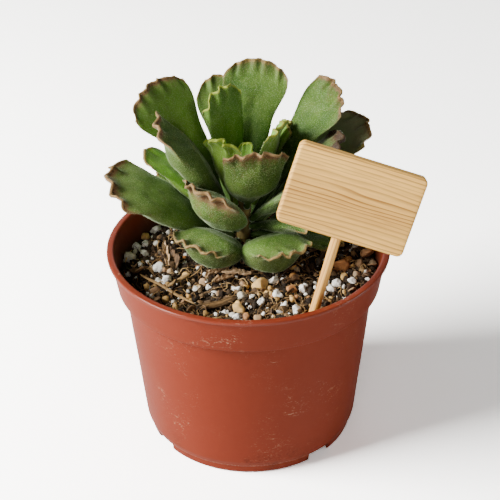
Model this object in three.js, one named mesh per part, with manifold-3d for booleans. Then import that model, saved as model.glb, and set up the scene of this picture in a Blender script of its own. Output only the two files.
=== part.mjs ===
// A crinkle-leaf plant in a small plastic pot, with a bare wooden label on a stick.
// Units are millimetres, +Z is up, and the origin is the bottom centre of the pot.

import * as THREE from 'three';
import { mergeVertices } from 'three/addons/utils/BufferGeometryUtils.js';
import Module from 'manifold-3d';

const wasm = await Module();
wasm.setup();

// Driving dimensions of the pot
const RIM_RADIUS = 45;
const POT_HEIGHT = 66.5;
const LIP_HEIGHT = 1.3;
const COLLAR_TOP_RADIUS = 43.9;
const COLLAR_BOTTOM_RADIUS = 42.3;
const COLLAR_BOTTOM = 54;
const BODY_TOP_RADIUS = 39.9;
const BODY_BOTTOM_RADIUS = 35;
const SKIRT_RADIUS = 33.9;
const SKIRT_HEIGHT = 3.2;
const POT_WALL = 1.4;
const STEP_LOW = COLLAR_BOTTOM + 0.4;
const STEP_HIGH = COLLAR_BOTTOM + 1.9;
const FLOOR_TOP = 4.6;
const FLOOR_THICKNESS = 1.4;
const CENTRE_FOOT_RADIUS = 9;
const NOTCH_WIDTH = 9;
const NOTCH_TURNS = [-49, 33, 131, 213];
const DRAIN_RADIUS = 3;
const DRAIN_COUNT = 8;
const DRAIN_RING_RADIUS = 24;
const POT_SEGMENTS = 60;

// Driving dimensions of the soil
const SOIL_LEVEL = 58;
const SOIL_EDGE_GAP = 0.3;
const SOIL_DIP = 0.9;
const SOIL_ROLL = 0.42;
const SOIL_MOUND = 0.5;
const SOIL_SLOPE = 0.02;
const SOIL_RINGS = 9;
const SOIL_SEGMENTS = 48;
const PEBBLE_COUNT = 34;
const PEBBLE_MIN = 1.2;
const PEBBLE_MAX = 2.2;
const PEBBLE_FIELD_RADIUS = 37.5;
const CLEAR_OF_STAKE = 6;
const CLEAR_OF_STEM = 26;

// Stones that lie in the soil at known places: distance right, distance back, radius
const STONES = [
  [26.5, -15, 3.6],
  [36.5, -9.5, 2.2],
  [4.5, -21, 2.8],
  [-2.6, -28.5, 2.4],
  [-37, -8, 2],
  [-27, -14, 1.8],
  [-26, -18.5, 1.7],
  [15.5, -26.5, 1.7],
];

// Driving dimensions of the stem
const STEM = new THREE.Vector2(-1.5, 15);
const STEM_RADIUS = 2.4;
const STEM_TOP = 74.6;
const STEM_BOTTOM = 44;
const SEAT_GAP = 0.3;

// Driving dimensions that all leaves share
const PETIOLE_HALF_WIDTH = 1.15;
const PETIOLE_HALF_THICKNESS = 1.1;
const CREST_HALF_THICKNESS = 0.42;
const GROOVE_WIDTH = 0.35;
const LOW_COLUMNS = 6;
const CREST_COLUMNS = 18;
const LOW_ROWS = [0, 0.1, 0.24, 0.4, 0.56, 0.7];
const CREST_ROWS = [0.8, 0.88, 0.95, 1];

// What a leaf has when its own line says nothing else. Angles are degrees, sizes are millimetres.
// turn: direction seen from above, anticlockwise from +X. lift: slope at the stem. bend: change of slope.
// seat: height where it leaves the stem. twist: roll about its own length. under and over: half-thickness
// below and above the middle surface. taper: how late it widens. flare: how much the crest outgrows the
// body. arch: how far the crest's corners fall back. cup: how far the sides curl up. groove: depth of the
// middle furrow. waves, ripple and phase: crinkles of the crest. reach: distance from the stem's axis.
const LEAF = {
  bend: -8, twist: 0, under: 4, over: 2.2, taper: 1.3, flare: 0.15, arch: 0.12,
  cup: 0.08, groove: 0.8, waves: 4, ripple: 0.9, phase: 0,
};

// One line or two for each leaf, from the low front ones round to the heart and the far side
const LEAVES = [
  { turn: -124, lift: 25, seat: 59.5, length: 29, width: 20, twist: -4, bend: -4, under: 7, over: 3.4,
    taper: 1, flare: -0.05, waves: 3, ripple: 1 },
  { turn: -62, lift: 23, seat: 59, length: 31, width: 19, bend: -4, under: 7.5, over: 4,
    taper: 1, flare: -0.05, waves: 3.5, ripple: 1 },
  { turn: 191, lift: 36, seat: 60, length: 48, width: 23, twist: -9, bend: -7, under: 5, over: 1.8,
    flare: 0, waves: 3.5, ripple: 1.1 },
  { turn: -122, lift: 52, seat: 64.5, length: 31.5, width: 21, twist: -10, bend: -6, under: 5.5, over: 1.8,
    taper: 1.1, flare: 0.05, ripple: 1.1 },
  { turn: -157, lift: 62, seat: 69, length: 42.5, width: 21, twist: -6, under: 4.4, flare: 0.1,
    arch: 0.04, waves: 3.5, ripple: 1.1 },
  { turn: 165, lift: 47, seat: 62, length: 39.5, width: 15, twist: 7, bend: -10, under: 3, ripple: 0.8 },
  { turn: 160, lift: 63, seat: 65.5, length: 54, width: 24, twist: -18, bend: -10, flare: 0.28,
    arch: 0.1, ripple: 0.8 },
  { turn: -72, lift: 67, seat: 73, length: 27.5, width: 20, twist: -7, bend: -4, under: 5.2, over: 1.5,
    taper: 1, flare: 0.2, arch: 0.08, ripple: 1, phase: 200 },
  { turn: -134, lift: 80, seat: 73.5, length: 25.5, width: 13, twist: 7, bend: -6, under: 3, over: 1.6,
    waves: 2.5, ripple: 1, phase: 60 },
  { turn: 61, lift: 86, seat: 75, length: 18, width: 6.5, twist: -9, bend: -4, under: 1.6, over: 1.2,
    groove: 0.2, waves: 2, ripple: 0.6, reach: 1.2 },
  { turn: 126, lift: 81, seat: 72, length: 37.5, width: 14, twist: 2, bend: -6, under: 2.4, over: 1.8,
    flare: 0.05, arch: 0.18, ripple: 0.6 },
  { turn: 76, lift: 74, seat: 68, length: 48.5, width: 20, twist: 7, bend: -12, flare: 0.3,
    arch: 0.11, ripple: 0.7 },
  { turn: 111, lift: 69, seat: 65.5, length: 47, width: 14, twist: 11, bend: -10, under: 2.8,
    flare: 0.25, waves: 3, ripple: 0.6 },
  { turn: -15, lift: 76, seat: 75, length: 29.5, width: 18, twist: -8, bend: -6, under: 2.2, over: 1.5,
    taper: 2, flare: 0.1 },
  { turn: 31, lift: 67, seat: 71, length: 30, width: 8, twist: -10, bend: -6, under: 2.2, over: 1.6,
    waves: 3, ripple: 0.6 },
  { turn: 23, lift: 61, seat: 66.5, length: 52.5, width: 18, twist: 10, bend: -12, under: 3.6,
    flare: 0.1, ripple: 0.7 },
  { turn: 20, lift: 47, seat: 61.8, length: 51.5, width: 19, twist: 7, bend: -10, under: 3.6, ripple: 0.7 },
  { turn: -4, lift: 56, seat: 64, length: 42.5, width: 12.5, bend: -12, under: 3, waves: 3, ripple: 1 },
  { turn: -43, lift: 47, seat: 67.7, length: 35.5, width: 17, twist: 8, under: 3.6, over: 1.8 },
  { turn: -39, lift: 25, seat: 64.8, length: 31, width: 16, twist: -8, under: 2.8, waves: 3, ripple: 0.8 },
  { turn: -19, lift: 8, seat: 61.2, length: 31, width: 14, bend: -4, under: 2.8, ripple: 0.8 },
  { turn: 101, lift: 34, seat: 61, length: 33, width: 16 },
  { turn: 61, lift: 35, seat: 60.5, length: 35, width: 17 },
  { turn: 26, lift: 15, seat: 59.3, length: 30, width: 15, bend: -6, waves: 3.5 },
  { turn: 140, lift: 30, seat: 60, length: 35, width: 18 },
];

// Driving dimensions of the label: its stick enters the soil at STAKE_FOOT
const STAKE_FOOT = new THREE.Vector3(19.3, -28.2, SOIL_LEVEL);
const STAKE_RADIUS = 1.5;
const STAKE_BURIED = 14;
const STAKE_SHOWN = 25.3;
const STAKE_SOCKET = 8;
const LABEL_LEAN_BACK = 14.5;
const LABEL_LEAN_RIGHT = 16.2;
const BOARD_WIDTH = 39.6;
const BOARD_HEIGHT = 25.3;
const BOARD_THICKNESS = 4.6;
const BOARD_CORNER = 2;
const BOARD_EDGE = 0.8;
const BOARD_SHIFT = 0.9;
const BOARD_TURN = 2.1;

const DEGREE = Math.PI / 180;

const MATERIALS = {
  terracotta: { color: 0xb0553c, roughness: 0.5, metalness: 0 },
  peat: { color: 0x4a3323, roughness: 1, metalness: 0 },
  bark: { color: 0x6e5a34, roughness: 0.9, metalness: 0 },
  leaf: { color: 0x4d7433, roughness: 0.55, metalness: 0 },
  pine: { color: 0xe2b78c, roughness: 0.7, metalness: 0 },
};

function makeMesh(name, geometry, material) {
  const mesh = new THREE.Mesh(geometry, new THREE.MeshStandardMaterial(MATERIALS[material]));
  mesh.name = name;
  return mesh;
}

function smoothstep(value, low, high) {
  const t = Math.min(Math.max((value - low) / (high - low), 0), 1);
  return t * t * (3 - 2 * t);
}

// A seeded random generator, so that the pebbles lie in the same places each time
function makeRandom(seed) {
  let state = seed;
  return () => {
    state = (state * 16807) % 2147483647;
    return state / 2147483647;
  };
}

// Solids for the cuts and joins

function toSolid(geometry) {
  const bare = geometry.clone();
  bare.deleteAttribute('normal');
  bare.deleteAttribute('uv');
  const merged = mergeVertices(bare, 1e-4);
  return new wasm.Manifold(new wasm.Mesh({
    numProp: 3,
    vertProperties: merged.attributes.position.array,
    triVerts: new Uint32Array(merged.index.array),
  }));
}

function toGeometry(solid) {
  const mesh = solid.getMesh();
  const geometry = new THREE.BufferGeometry();
  geometry.setAttribute('position', new THREE.BufferAttribute(mesh.vertProperties, 3));
  geometry.setIndex(new THREE.BufferAttribute(mesh.triVerts, 1));
  geometry.computeVertexNormals();
  return geometry;
}

// A cylinder that stands along +Z between two heights
function uprightCylinder(radius, low, high, segments) {
  const geometry = new THREE.CylinderGeometry(radius, radius, high - low, segments);
  geometry.rotateX(Math.PI / 2);
  geometry.translate(0, 0, (low + high) / 2);
  return geometry;
}

// LatheGeometry turns about +Y, so the turned shape is stood up along +Z
function uprightLathe(profile, segments) {
  const points = profile.map(([radius, height]) => new THREE.Vector2(radius, height));
  const geometry = new THREE.LatheGeometry(points, segments);
  geometry.rotateX(Math.PI / 2);
  return geometry;
}

// Inner radius of the pot's wall at a height, which the soil follows
function wallRadius(height) {
  const t = (height - SKIRT_HEIGHT) / (COLLAR_BOTTOM - SKIRT_HEIGHT);
  return THREE.MathUtils.lerp(BODY_BOTTOM_RADIUS, BODY_TOP_RADIUS, t) - POT_WALL;
}

function collarInnerRadius(height) {
  const t = (height - COLLAR_BOTTOM) / (POT_HEIGHT - COLLAR_BOTTOM);
  return THREE.MathUtils.lerp(COLLAR_BOTTOM_RADIUS, COLLAR_TOP_RADIUS, t) - POT_WALL;
}

function makePot() {
  const floorBottom = FLOOR_TOP - FLOOR_THICKNESS;
  const lipBottom = POT_HEIGHT - LIP_HEIGHT;
  const profile = [
    [0, 0],
    [CENTRE_FOOT_RADIUS, 0],
    [CENTRE_FOOT_RADIUS + 0.6, floorBottom],
    [SKIRT_RADIUS - POT_WALL - 0.3, floorBottom],
    [SKIRT_RADIUS - POT_WALL, 0],
    [SKIRT_RADIUS, 0],
    [SKIRT_RADIUS + 0.1, SKIRT_HEIGHT],
    [SKIRT_RADIUS + 0.6, SKIRT_HEIGHT + 0.1],
    [BODY_BOTTOM_RADIUS, SKIRT_HEIGHT + 1.4],
    [BODY_TOP_RADIUS, COLLAR_BOTTOM],
    [COLLAR_BOTTOM_RADIUS - 0.4, COLLAR_BOTTOM + 0.1],
    [COLLAR_BOTTOM_RADIUS, COLLAR_BOTTOM + 0.6],
    [COLLAR_TOP_RADIUS, lipBottom],
    [RIM_RADIUS - 0.2, lipBottom + 0.2],
    [RIM_RADIUS, lipBottom + LIP_HEIGHT / 2],
    [RIM_RADIUS - 0.3, POT_HEIGHT - 0.1],
    [RIM_RADIUS - 0.7, POT_HEIGHT],
    [collarInnerRadius(POT_HEIGHT) + 0.4, POT_HEIGHT],
    [collarInnerRadius(POT_HEIGHT), POT_HEIGHT - 0.4],
    [collarInnerRadius(STEP_HIGH), STEP_HIGH],
    [wallRadius(STEP_LOW), STEP_LOW],
    [wallRadius(FLOOR_TOP + 2), FLOOR_TOP + 2],
    [wallRadius(FLOOR_TOP) - 2, FLOOR_TOP],
    [0, FLOOR_TOP],
  ];
  let pot = toSolid(uprightLathe(profile, POT_SEGMENTS));
  for (const turn of NOTCH_TURNS) {
    const notch = new THREE.BoxGeometry(2 * NOTCH_WIDTH, NOTCH_WIDTH, 2 * (SKIRT_HEIGHT - 0.2));
    notch.translate(SKIRT_RADIUS, 0, 0);
    notch.rotateZ(turn * DEGREE);
    pot = pot.subtract(toSolid(notch));
  }
  for (let i = 0; i < DRAIN_COUNT; i++) {
    const drain = uprightCylinder(DRAIN_RADIUS, 1, FLOOR_TOP + 1, 16);
    drain.translate(DRAIN_RING_RADIUS, 0, 0);
    drain.rotateZ((i * 360 * DEGREE) / DRAIN_COUNT);
    pot = pot.subtract(toSolid(drain));
  }
  return makeMesh('pot', toGeometry(pot), 'terracotta');
}

// Height of the soil: low soft rolls, a mound under the plant and a rise towards the right
function soilHeight(x, y) {
  const rolls = Math.sin(x * 0.31 + 1.2) * Math.cos(y * 0.27 - 0.4) + 0.5 * Math.sin(x * 0.13 - y * 0.35);
  const mound = Math.exp(-((x - STEM.x) ** 2 + (y - STEM.y) ** 2) / 200);
  return SOIL_LEVEL - SOIL_DIP + SOIL_ROLL * rolls + SOIL_MOUND * mound + SOIL_SLOPE * x;
}

// A closed surface: rings of the top from the centre out, then one wall ring and the flat underside
function makeSoilBody() {
  const positions = [0, 0, soilHeight(0, 0)];
  const edgeRadius = collarInnerRadius(SOIL_LEVEL) - SOIL_EDGE_GAP - 0.3;
  const rings = [];
  for (let i = 1; i <= SOIL_RINGS; i++) {
    rings.push({ radius: (edgeRadius * i) / SOIL_RINGS, height: null });
  }
  rings.push({ radius: collarInnerRadius(STEP_HIGH) - SOIL_EDGE_GAP, height: STEP_HIGH + 0.2 });
  rings.push({ radius: wallRadius(STEP_LOW) - SOIL_EDGE_GAP, height: STEP_LOW });
  rings.push({ radius: wallRadius(FLOOR_TOP + 2) - SOIL_EDGE_GAP, height: FLOOR_TOP + 2.2 });
  rings.push({ radius: wallRadius(FLOOR_TOP) - 2 - SOIL_EDGE_GAP, height: FLOOR_TOP });
  for (const { radius, height } of rings) {
    for (let j = 0; j < SOIL_SEGMENTS; j++) {
      const angle = (j * 2 * Math.PI) / SOIL_SEGMENTS;
      const x = radius * Math.cos(angle);
      const y = radius * Math.sin(angle);
      positions.push(x, y, height ?? soilHeight(x, y));
    }
  }
  positions.push(0, 0, FLOOR_TOP);
  const bottomCentre = positions.length / 3 - 1;
  const index = [];
  for (let j = 0; j < SOIL_SEGMENTS; j++) {
    const next = (j + 1) % SOIL_SEGMENTS;
    index.push(0, 1 + j, 1 + next);
    for (let i = 0; i < rings.length - 1; i++) {
      const inner = 1 + i * SOIL_SEGMENTS;
      const outer = inner + SOIL_SEGMENTS;
      index.push(inner + j, outer + j, outer + next);
      index.push(inner + j, outer + next, inner + next);
    }
    const last = 1 + (rings.length - 1) * SOIL_SEGMENTS;
    index.push(last + j, bottomCentre, last + next);
  }
  const geometry = new THREE.BufferGeometry();
  geometry.setAttribute('position', new THREE.Float32BufferAttribute(positions, 3));
  geometry.setIndex(index);
  return toSolid(geometry);
}

function makePebble(x, y, radius) {
  const pebble = new THREE.IcosahedronGeometry(radius, 0);
  pebble.scale(1, 0.85, 0.75);
  pebble.rotateZ(x + y);
  pebble.translate(x, y, soilHeight(x, y) + 0.15 * radius);
  return toSolid(pebble);
}

// True where a pebble would lie under the stick or against the stem
function isTaken(x, y) {
  const toStake = Math.hypot(x - STAKE_FOOT.x, y - STAKE_FOOT.y);
  const toStem = Math.hypot(x - STEM.x, y - STEM.y);
  return toStake < CLEAR_OF_STAKE || toStem < CLEAR_OF_STEM;
}

function makeSoil(label) {
  let soil = makeSoilBody();
  for (const [x, y, radius] of STONES) {
    soil = soil.add(makePebble(x, y, radius));
  }
  const random = makeRandom(7);
  let placed = 0;
  while (placed < PEBBLE_COUNT) {
    const radius = THREE.MathUtils.lerp(PEBBLE_MIN, PEBBLE_MAX, random());
    const distance = PEBBLE_FIELD_RADIUS * Math.sqrt(random());
    const angle = random() * 2 * Math.PI;
    const x = distance * Math.cos(angle);
    const y = distance * Math.sin(angle);
    if (!isTaken(x, y)) {
      soil = soil.add(makePebble(x, y, radius));
      placed += 1;
    }
  }
  const stemHole = uprightCylinder(STEM_RADIUS + SEAT_GAP, STEM_BOTTOM - SEAT_GAP, SOIL_LEVEL + 6, 16);
  stemHole.translate(STEM.x, STEM.y, 0);
  soil = soil.subtract(toSolid(stemHole));
  const stakeHole = uprightCylinder(STAKE_RADIUS + SEAT_GAP, -STAKE_BURIED - SEAT_GAP, 8, 16);
  label.updateMatrixWorld(true);
  stakeHole.applyMatrix4(label.matrixWorld);
  soil = soil.subtract(toSolid(stakeHole));
  return makeMesh('soil', toGeometry(soil), 'peat');
}

// The stem is ringed by old leaf scars, which make shallow grooves
function makeStem() {
  const profile = [[0, STEM_BOTTOM], [STEM_RADIUS - 0.3, STEM_BOTTOM], [STEM_RADIUS, STEM_BOTTOM + 0.5]];
  for (let height = SOIL_LEVEL + 1.5; height < STEM_TOP - 2; height += 3.2) {
    profile.push([STEM_RADIUS, height - 0.7], [STEM_RADIUS - 0.35, height], [STEM_RADIUS, height + 0.7]);
  }
  profile.push([STEM_RADIUS, STEM_TOP - 0.8], [STEM_RADIUS - 0.8, STEM_TOP], [0, STEM_TOP]);
  const stem = makeMesh('stem', uprightLathe(profile, 16), 'bark');
  stem.position.set(STEM.x, STEM.y, 0);
  return stem;
}

// A point along the leaf's bent middle line, with the directions along, across and out of the leaf
function leafFrame(leaf, t) {
  const start = leaf.lift * DEGREE;
  const bend = leaf.bend * DEGREE;
  const slope = start + bend * t;
  const out = (leaf.length * (Math.sin(slope) - Math.sin(start))) / bend;
  const up = (leaf.length * (Math.cos(start) - Math.cos(slope))) / bend;
  const thickness = Math.min(PETIOLE_HALF_THICKNESS, 0.15 * leaf.width);
  const reach = leaf.reach ?? STEM_RADIUS + SEAT_GAP + thickness * Math.sin(start);
  const turn = leaf.turn * DEGREE;
  const heading = new THREE.Vector3(Math.cos(turn), Math.sin(turn), 0);
  const side = new THREE.Vector3(-Math.sin(turn), Math.cos(turn), 0);
  const point = new THREE.Vector3(STEM.x, STEM.y, leaf.seat + up).addScaledVector(heading, reach + out);
  const along = heading.clone().multiplyScalar(Math.cos(slope)).setZ(Math.sin(slope));
  const normal = heading.clone().multiplyScalar(-Math.sin(slope)).setZ(Math.cos(slope));
  const twist = leaf.twist * DEGREE * smoothstep(t, 0, 0.5);
  side.applyAxisAngle(along, twist);
  normal.applyAxisAngle(along, twist);
  return { point, along, side, normal };
}

function leafHalfWidth(leaf, u) {
  const widest = leaf.width / 2;
  const petiole = Math.min(PETIOLE_HALF_WIDTH, 0.35 * widest);
  const body = widest * (1 - leaf.flare * (1 - smoothstep(u, 0.5, 1)));
  const grown = Math.min(Math.max((u - 0.12) / 0.62, 0), 1);
  return petiole + (body - petiole) * Math.sin((Math.PI / 2) * grown) ** leaf.taper;
}

// Half-thickness on one face: plump in the body, thin at the crest, rounded at the sides
function leafHalfThickness(leaf, u, s, isUnder) {
  const petiole = Math.min(PETIOLE_HALF_THICKNESS, 0.15 * leaf.width);
  const plump = isUnder ? leaf.under : leaf.over;
  const body = (petiole + (plump - petiole) * smoothstep(u, 0.1, 0.62)) * (1 - smoothstep(u, 0.58, 0.97));
  const rounding = Math.sqrt(1 - Math.max((u - 0.9) / 0.1, 0) ** 2);
  let half = Math.max(body, CREST_HALF_THICKNESS * rounding);
  if (!isUnder) {
    const along = smoothstep(u, 0.1, 0.5) * (1 - smoothstep(u, 0.6, 0.92));
    half -= leaf.groove * Math.exp(-((s / GROOVE_WIDTH) ** 2)) * along;
  }
  return half * Math.sqrt(Math.max(1 - s * s, 0));
}

// The leaf's middle surface: u runs from the stem to the crest, s from one side to the other
function leafPoint(leaf, u, s) {
  const frame = leafFrame(leaf, u * (1 - leaf.arch * s * s * u));
  const crest = smoothstep(u, 0.72, 1);
  const wave = leaf.waves * Math.PI * s + leaf.phase * DEGREE;
  const cup = leaf.cup * (leaf.width / 2) * s * s * smoothstep(u, 0.2, 0.8);
  frame.point.addScaledVector(frame.side, leafHalfWidth(leaf, u) * s);
  frame.point.addScaledVector(frame.normal, leaf.ripple * crest * Math.sin(wave) + cup);
  frame.point.addScaledVector(frame.along, 0.45 * leaf.ripple * crest * Math.cos(wave + 0.9));
  return frame;
}

// One row of points across the leaf. The two faces share their side points and the whole crest.
function leafRow(leaf, u, columns, positions) {
  const over = [];
  const under = [];
  for (let j = 0; j <= columns; j++) {
    const s = Math.sin(Math.PI * (j / columns - 0.5));
    const { point, normal } = leafPoint(leaf, u, s);
    if (j === 0 || j === columns || u === 1) {
      over.push(positions.length);
      under.push(positions.length);
      positions.push(point);
    } else {
      over.push(positions.length);
      positions.push(point.clone().addScaledVector(normal, leafHalfThickness(leaf, u, s, false)));
      under.push(positions.length);
      positions.push(point.clone().addScaledVector(normal, -leafHalfThickness(leaf, u, s, true)));
    }
  }
  return [over, under];
}

// Triangles between two rows of one face. The outer row may have a whole number of times more columns.
function leafStrip(inner, outer) {
  const triangles = [];
  const columns = inner.length - 1;
  const fan = (outer.length - 1) / columns;
  for (let j = 0; j < columns; j++) {
    const middle = fan === 1 ? j + (j < columns / 2 ? 1 : 0) : fan * j + Math.floor(fan / 2);
    for (let i = fan * j; i < middle; i++) {
      triangles.push([inner[j], outer[i + 1], outer[i]]);
    }
    triangles.push([inner[j], inner[j + 1], outer[middle]]);
    for (let i = middle; i < fan * (j + 1); i++) {
      triangles.push([inner[j + 1], outer[i + 1], outer[i]]);
    }
  }
  return triangles;
}

function makeLeaf(leaf, name) {
  const positions = [];
  const rows = [
    ...LOW_ROWS.map((u) => leafRow(leaf, u, LOW_COLUMNS, positions)),
    ...CREST_ROWS.map((u) => leafRow(leaf, u, CREST_COLUMNS, positions)),
  ];
  const triangles = [];
  for (let i = 0; i < rows.length - 1; i++) {
    triangles.push(...leafStrip(rows[i][0], rows[i + 1][0]).map(([a, b, c]) => [a, c, b]));
    triangles.push(...leafStrip(rows[i][1], rows[i + 1][1]));
  }
  const [over, under] = rows[0];
  const rim = [...over, ...under.slice(1, -1).reverse()];
  const centre = rim.reduce((sum, k) => sum.add(positions[k]), new THREE.Vector3()).divideScalar(rim.length);
  const centreIndex = positions.push(centre) - 1;
  rim.forEach((k, i) => triangles.push([k, rim[(i + 1) % rim.length], centreIndex]));
  const geometry = new THREE.BufferGeometry().setFromPoints(positions);
  geometry.setIndex(triangles.filter(([a, b, c]) => a !== b && b !== c && c !== a).flat());
  geometry.computeVertexNormals();
  return makeMesh(name, geometry, 'leaf');
}

// A rounded board, a little askew on the stick and drilled from below for it
function makeBoard() {
  const right = BOARD_WIDTH / 2 - BOARD_EDGE;
  const top = BOARD_HEIGHT / 2 - BOARD_EDGE;
  const corner = BOARD_CORNER - BOARD_EDGE;
  const outline = new THREE.Shape();
  outline.moveTo(corner - right, -top);
  outline.lineTo(right - corner, -top);
  outline.absarc(right - corner, corner - top, corner, -Math.PI / 2, 0);
  outline.lineTo(right, top - corner);
  outline.absarc(right - corner, top - corner, corner, 0, Math.PI / 2);
  outline.lineTo(corner - right, top);
  outline.absarc(corner - right, top - corner, corner, Math.PI / 2, Math.PI);
  outline.lineTo(-right, corner - top);
  outline.absarc(corner - right, corner - top, corner, Math.PI, 1.5 * Math.PI);
  const board = new THREE.ExtrudeGeometry(outline, {
    depth: BOARD_THICKNESS - 2 * BOARD_EDGE,
    bevelThickness: BOARD_EDGE,
    bevelSize: BOARD_EDGE,
    bevelSegments: 2,
    curveSegments: 4,
  });
  board.translate(0, 0, BOARD_EDGE - BOARD_THICKNESS / 2);
  board.rotateX(Math.PI / 2);
  board.translate(BOARD_SHIFT, 0, 0);
  board.rotateY(BOARD_TURN * DEGREE);
  board.translate(0, 0, STAKE_SHOWN + BOARD_HEIGHT / 2);
  const socketTop = STAKE_SHOWN + STAKE_SOCKET + SEAT_GAP;
  const socket = uprightCylinder(STAKE_RADIUS + SEAT_GAP, STAKE_SHOWN - 1, socketTop, 16);
  return makeMesh('label_board', toGeometry(toSolid(board).subtract(toSolid(socket))), 'pine');
}

function makeStake() {
  const stake = uprightCylinder(STAKE_RADIUS, -STAKE_BURIED, STAKE_SHOWN + STAKE_SOCKET, 16);
  return makeMesh('label_stake', stake, 'pine');
}

// The label's own frame: +Z along the stick, its origin where the stick enters the soil
function makeLabel() {
  const label = new THREE.Group();
  label.position.copy(STAKE_FOOT);
  label.rotation.set(-LABEL_LEAN_BACK * DEGREE, LABEL_LEAN_RIGHT * DEGREE, 0);
  label.add(makeBoard(), makeStake());
  return label;
}

const label = makeLabel();
const group = new THREE.Group();
group.add(makePot(), makeSoil(label), makeStem(), label);
LEAVES.forEach((own, i) => {
  const name = `leaf_${String(i + 1).padStart(2, '0')}`;
  group.add(makeLeaf({ ...LEAF, ...own }, name));
});

export default group;
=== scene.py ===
# %% [markdown]
# # A crinkle-leaf plant in a plastic pot
# This notebook dresses a solid model of a small potted succulent. The solid model is loaded first and
# stays as it is. Each piece that needs a finer surface is worked out again with numpy, from the same
# sizes, and takes the place of the plain solid.

# %% Load the solid model and measure it
import math
from types import SimpleNamespace

import bmesh
import bpy
import numpy as np
from mathutils import Matrix, Vector


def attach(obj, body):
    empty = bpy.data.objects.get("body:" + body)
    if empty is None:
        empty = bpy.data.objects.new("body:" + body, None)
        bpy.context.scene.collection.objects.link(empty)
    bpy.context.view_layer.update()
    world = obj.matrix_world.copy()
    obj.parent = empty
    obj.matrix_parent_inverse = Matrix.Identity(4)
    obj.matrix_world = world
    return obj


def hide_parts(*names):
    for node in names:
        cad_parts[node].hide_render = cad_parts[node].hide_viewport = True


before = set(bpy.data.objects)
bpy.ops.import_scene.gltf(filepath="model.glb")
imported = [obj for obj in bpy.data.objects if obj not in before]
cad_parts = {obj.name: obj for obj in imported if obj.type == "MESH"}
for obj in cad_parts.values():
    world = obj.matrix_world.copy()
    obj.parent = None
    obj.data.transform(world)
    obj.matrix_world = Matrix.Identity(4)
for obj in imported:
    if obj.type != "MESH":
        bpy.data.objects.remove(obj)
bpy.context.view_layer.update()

# %% [markdown]
# ## The camera
# The picture is taken from the front, a little above the rim, with a long lens. Blender's camera looks
# along its own -Z, so the three columns of its turning matrix are its right, its up and the opposite of
# its view. The lens follows from the picture: 1400 pixels of focal length on a picture 500 pixels wide.

# %% Place the camera
MM = 0.001
PITCH, YAW, ROLL = 0.55606, 0.00123, -0.01365
EYE = np.array([0, -379.09, 299.32])
FOCAL, PICTURE = 1400, 500
view = np.array([math.sin(YAW) * math.cos(PITCH), math.cos(YAW) * math.cos(PITCH), -math.sin(PITCH)])
level = np.array([math.cos(YAW), -math.sin(YAW), 0.0])
upward = np.cross(level, view)
right = math.cos(ROLL) * level + math.sin(ROLL) * upward
up = math.cos(ROLL) * upward - math.sin(ROLL) * level
lens = bpy.data.cameras.new("camera")
lens.sensor_width = 36.0
lens.lens = FOCAL / PICTURE * lens.sensor_width
camera = bpy.data.objects.new("camera", lens)
turning = Matrix(np.column_stack([right, up, -view]).tolist()).to_4x4()
camera.matrix_world = Matrix.Translation(EYE * MM) @ turning
bpy.context.scene.collection.objects.link(camera)
bpy.context.scene.camera = camera
print("lens", round(lens.lens, 1), "mm")

# %% [markdown]
# ## Turning arrays into meshes
# Every piece below is an array of points. Blender takes such arrays whole, with foreach_set, which is far
# quicker than adding vertices one at a time. A helper measures the volume that the faces enclose: when it
# comes out negative, all the faces look inwards, and it turns them round.

# %% Helpers that build a mesh
def volume_of(points, faces):
    """A sixth of the sum, over triangles fanned from each face's first corner, of a dot (b cross c)."""
    total = 0.0
    for k in range(1, faces.shape[1] - 1):
        a, b, c = points[faces[:, 0]], points[faces[:, k]], points[faces[:, k + 1]]
        total += np.einsum("ij,ij->", a, np.cross(b, c)) / 6
    return total


def new_piece(name, points, faces, materials, slot=None, stands_for=None, which=None, values=None,
              skin_uv=None):
    """A mesh object from points in millimetres and lists of faces, each an array with 3 or 4 columns. A piece
    that is given a slot rides on the object's one body, and a piece may stand for a solid, which it hides."""
    points = np.asarray(points, float)
    if sum(volume_of(points, f) for f in faces) < 0:
        faces = [f[:, ::-1] for f in faces]
    mesh = bpy.data.meshes.new(name)
    mesh.vertices.add(len(points))
    mesh.vertices.foreach_set("co", (points * MM).astype(np.float32).ravel())
    sizes = np.concatenate([np.full(len(f), f.shape[1]) for f in faces])
    corners = np.concatenate([f.ravel() for f in faces]).astype(np.int32)
    mesh.loops.add(len(corners))
    mesh.loops.foreach_set("vertex_index", corners)
    mesh.polygons.add(len(sizes))
    mesh.polygons.foreach_set("loop_start", (np.cumsum(sizes) - sizes).astype(np.int32))
    mesh.polygons.foreach_set("use_smooth", np.ones(len(sizes), bool))
    if which is not None:
        mesh.polygons.foreach_set("material_index", np.asarray(which, np.int32))
    mesh.update(calc_edges=True)
    for key, column in (values or {}).items():
        kind, spot = ("FLOAT", "value") if column.ndim == 1 else ("FLOAT_VECTOR", "vector")
        mesh.attributes.new(key, kind, "POINT").data.foreach_set(spot, column.astype(np.float32).ravel())
    if skin_uv is not None:
        mesh.uv_layers.new(name="skin").data.foreach_set("uv", skin_uv[corners].astype(np.float32).ravel())
    for material in materials:
        mesh.materials.append(material)
    piece = bpy.data.objects.new(name, mesh)
    bpy.context.scene.collection.objects.link(piece)
    if slot:
        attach(piece, "root")
    if stands_for:
        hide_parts(stands_for)
    print(name, len(points), "points", len(sizes), "faces")
    return piece


def grid_faces(index):
    """Quads between neighbouring rows and columns of a table of point numbers, and round the back."""
    index = np.concatenate([index, index[..., :1]], -1)
    corners = index[..., :-1, :-1], index[..., :-1, 1:], index[..., 1:, 1:], index[..., 1:, :-1]
    return np.stack(corners, -1).reshape(-1, 4)


def fan_faces(ring, centre):
    """Triangles from a ring of point numbers to one centre point."""
    return np.stack([np.roll(ring, -1), ring, np.full(len(ring), centre)], -1)


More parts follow.
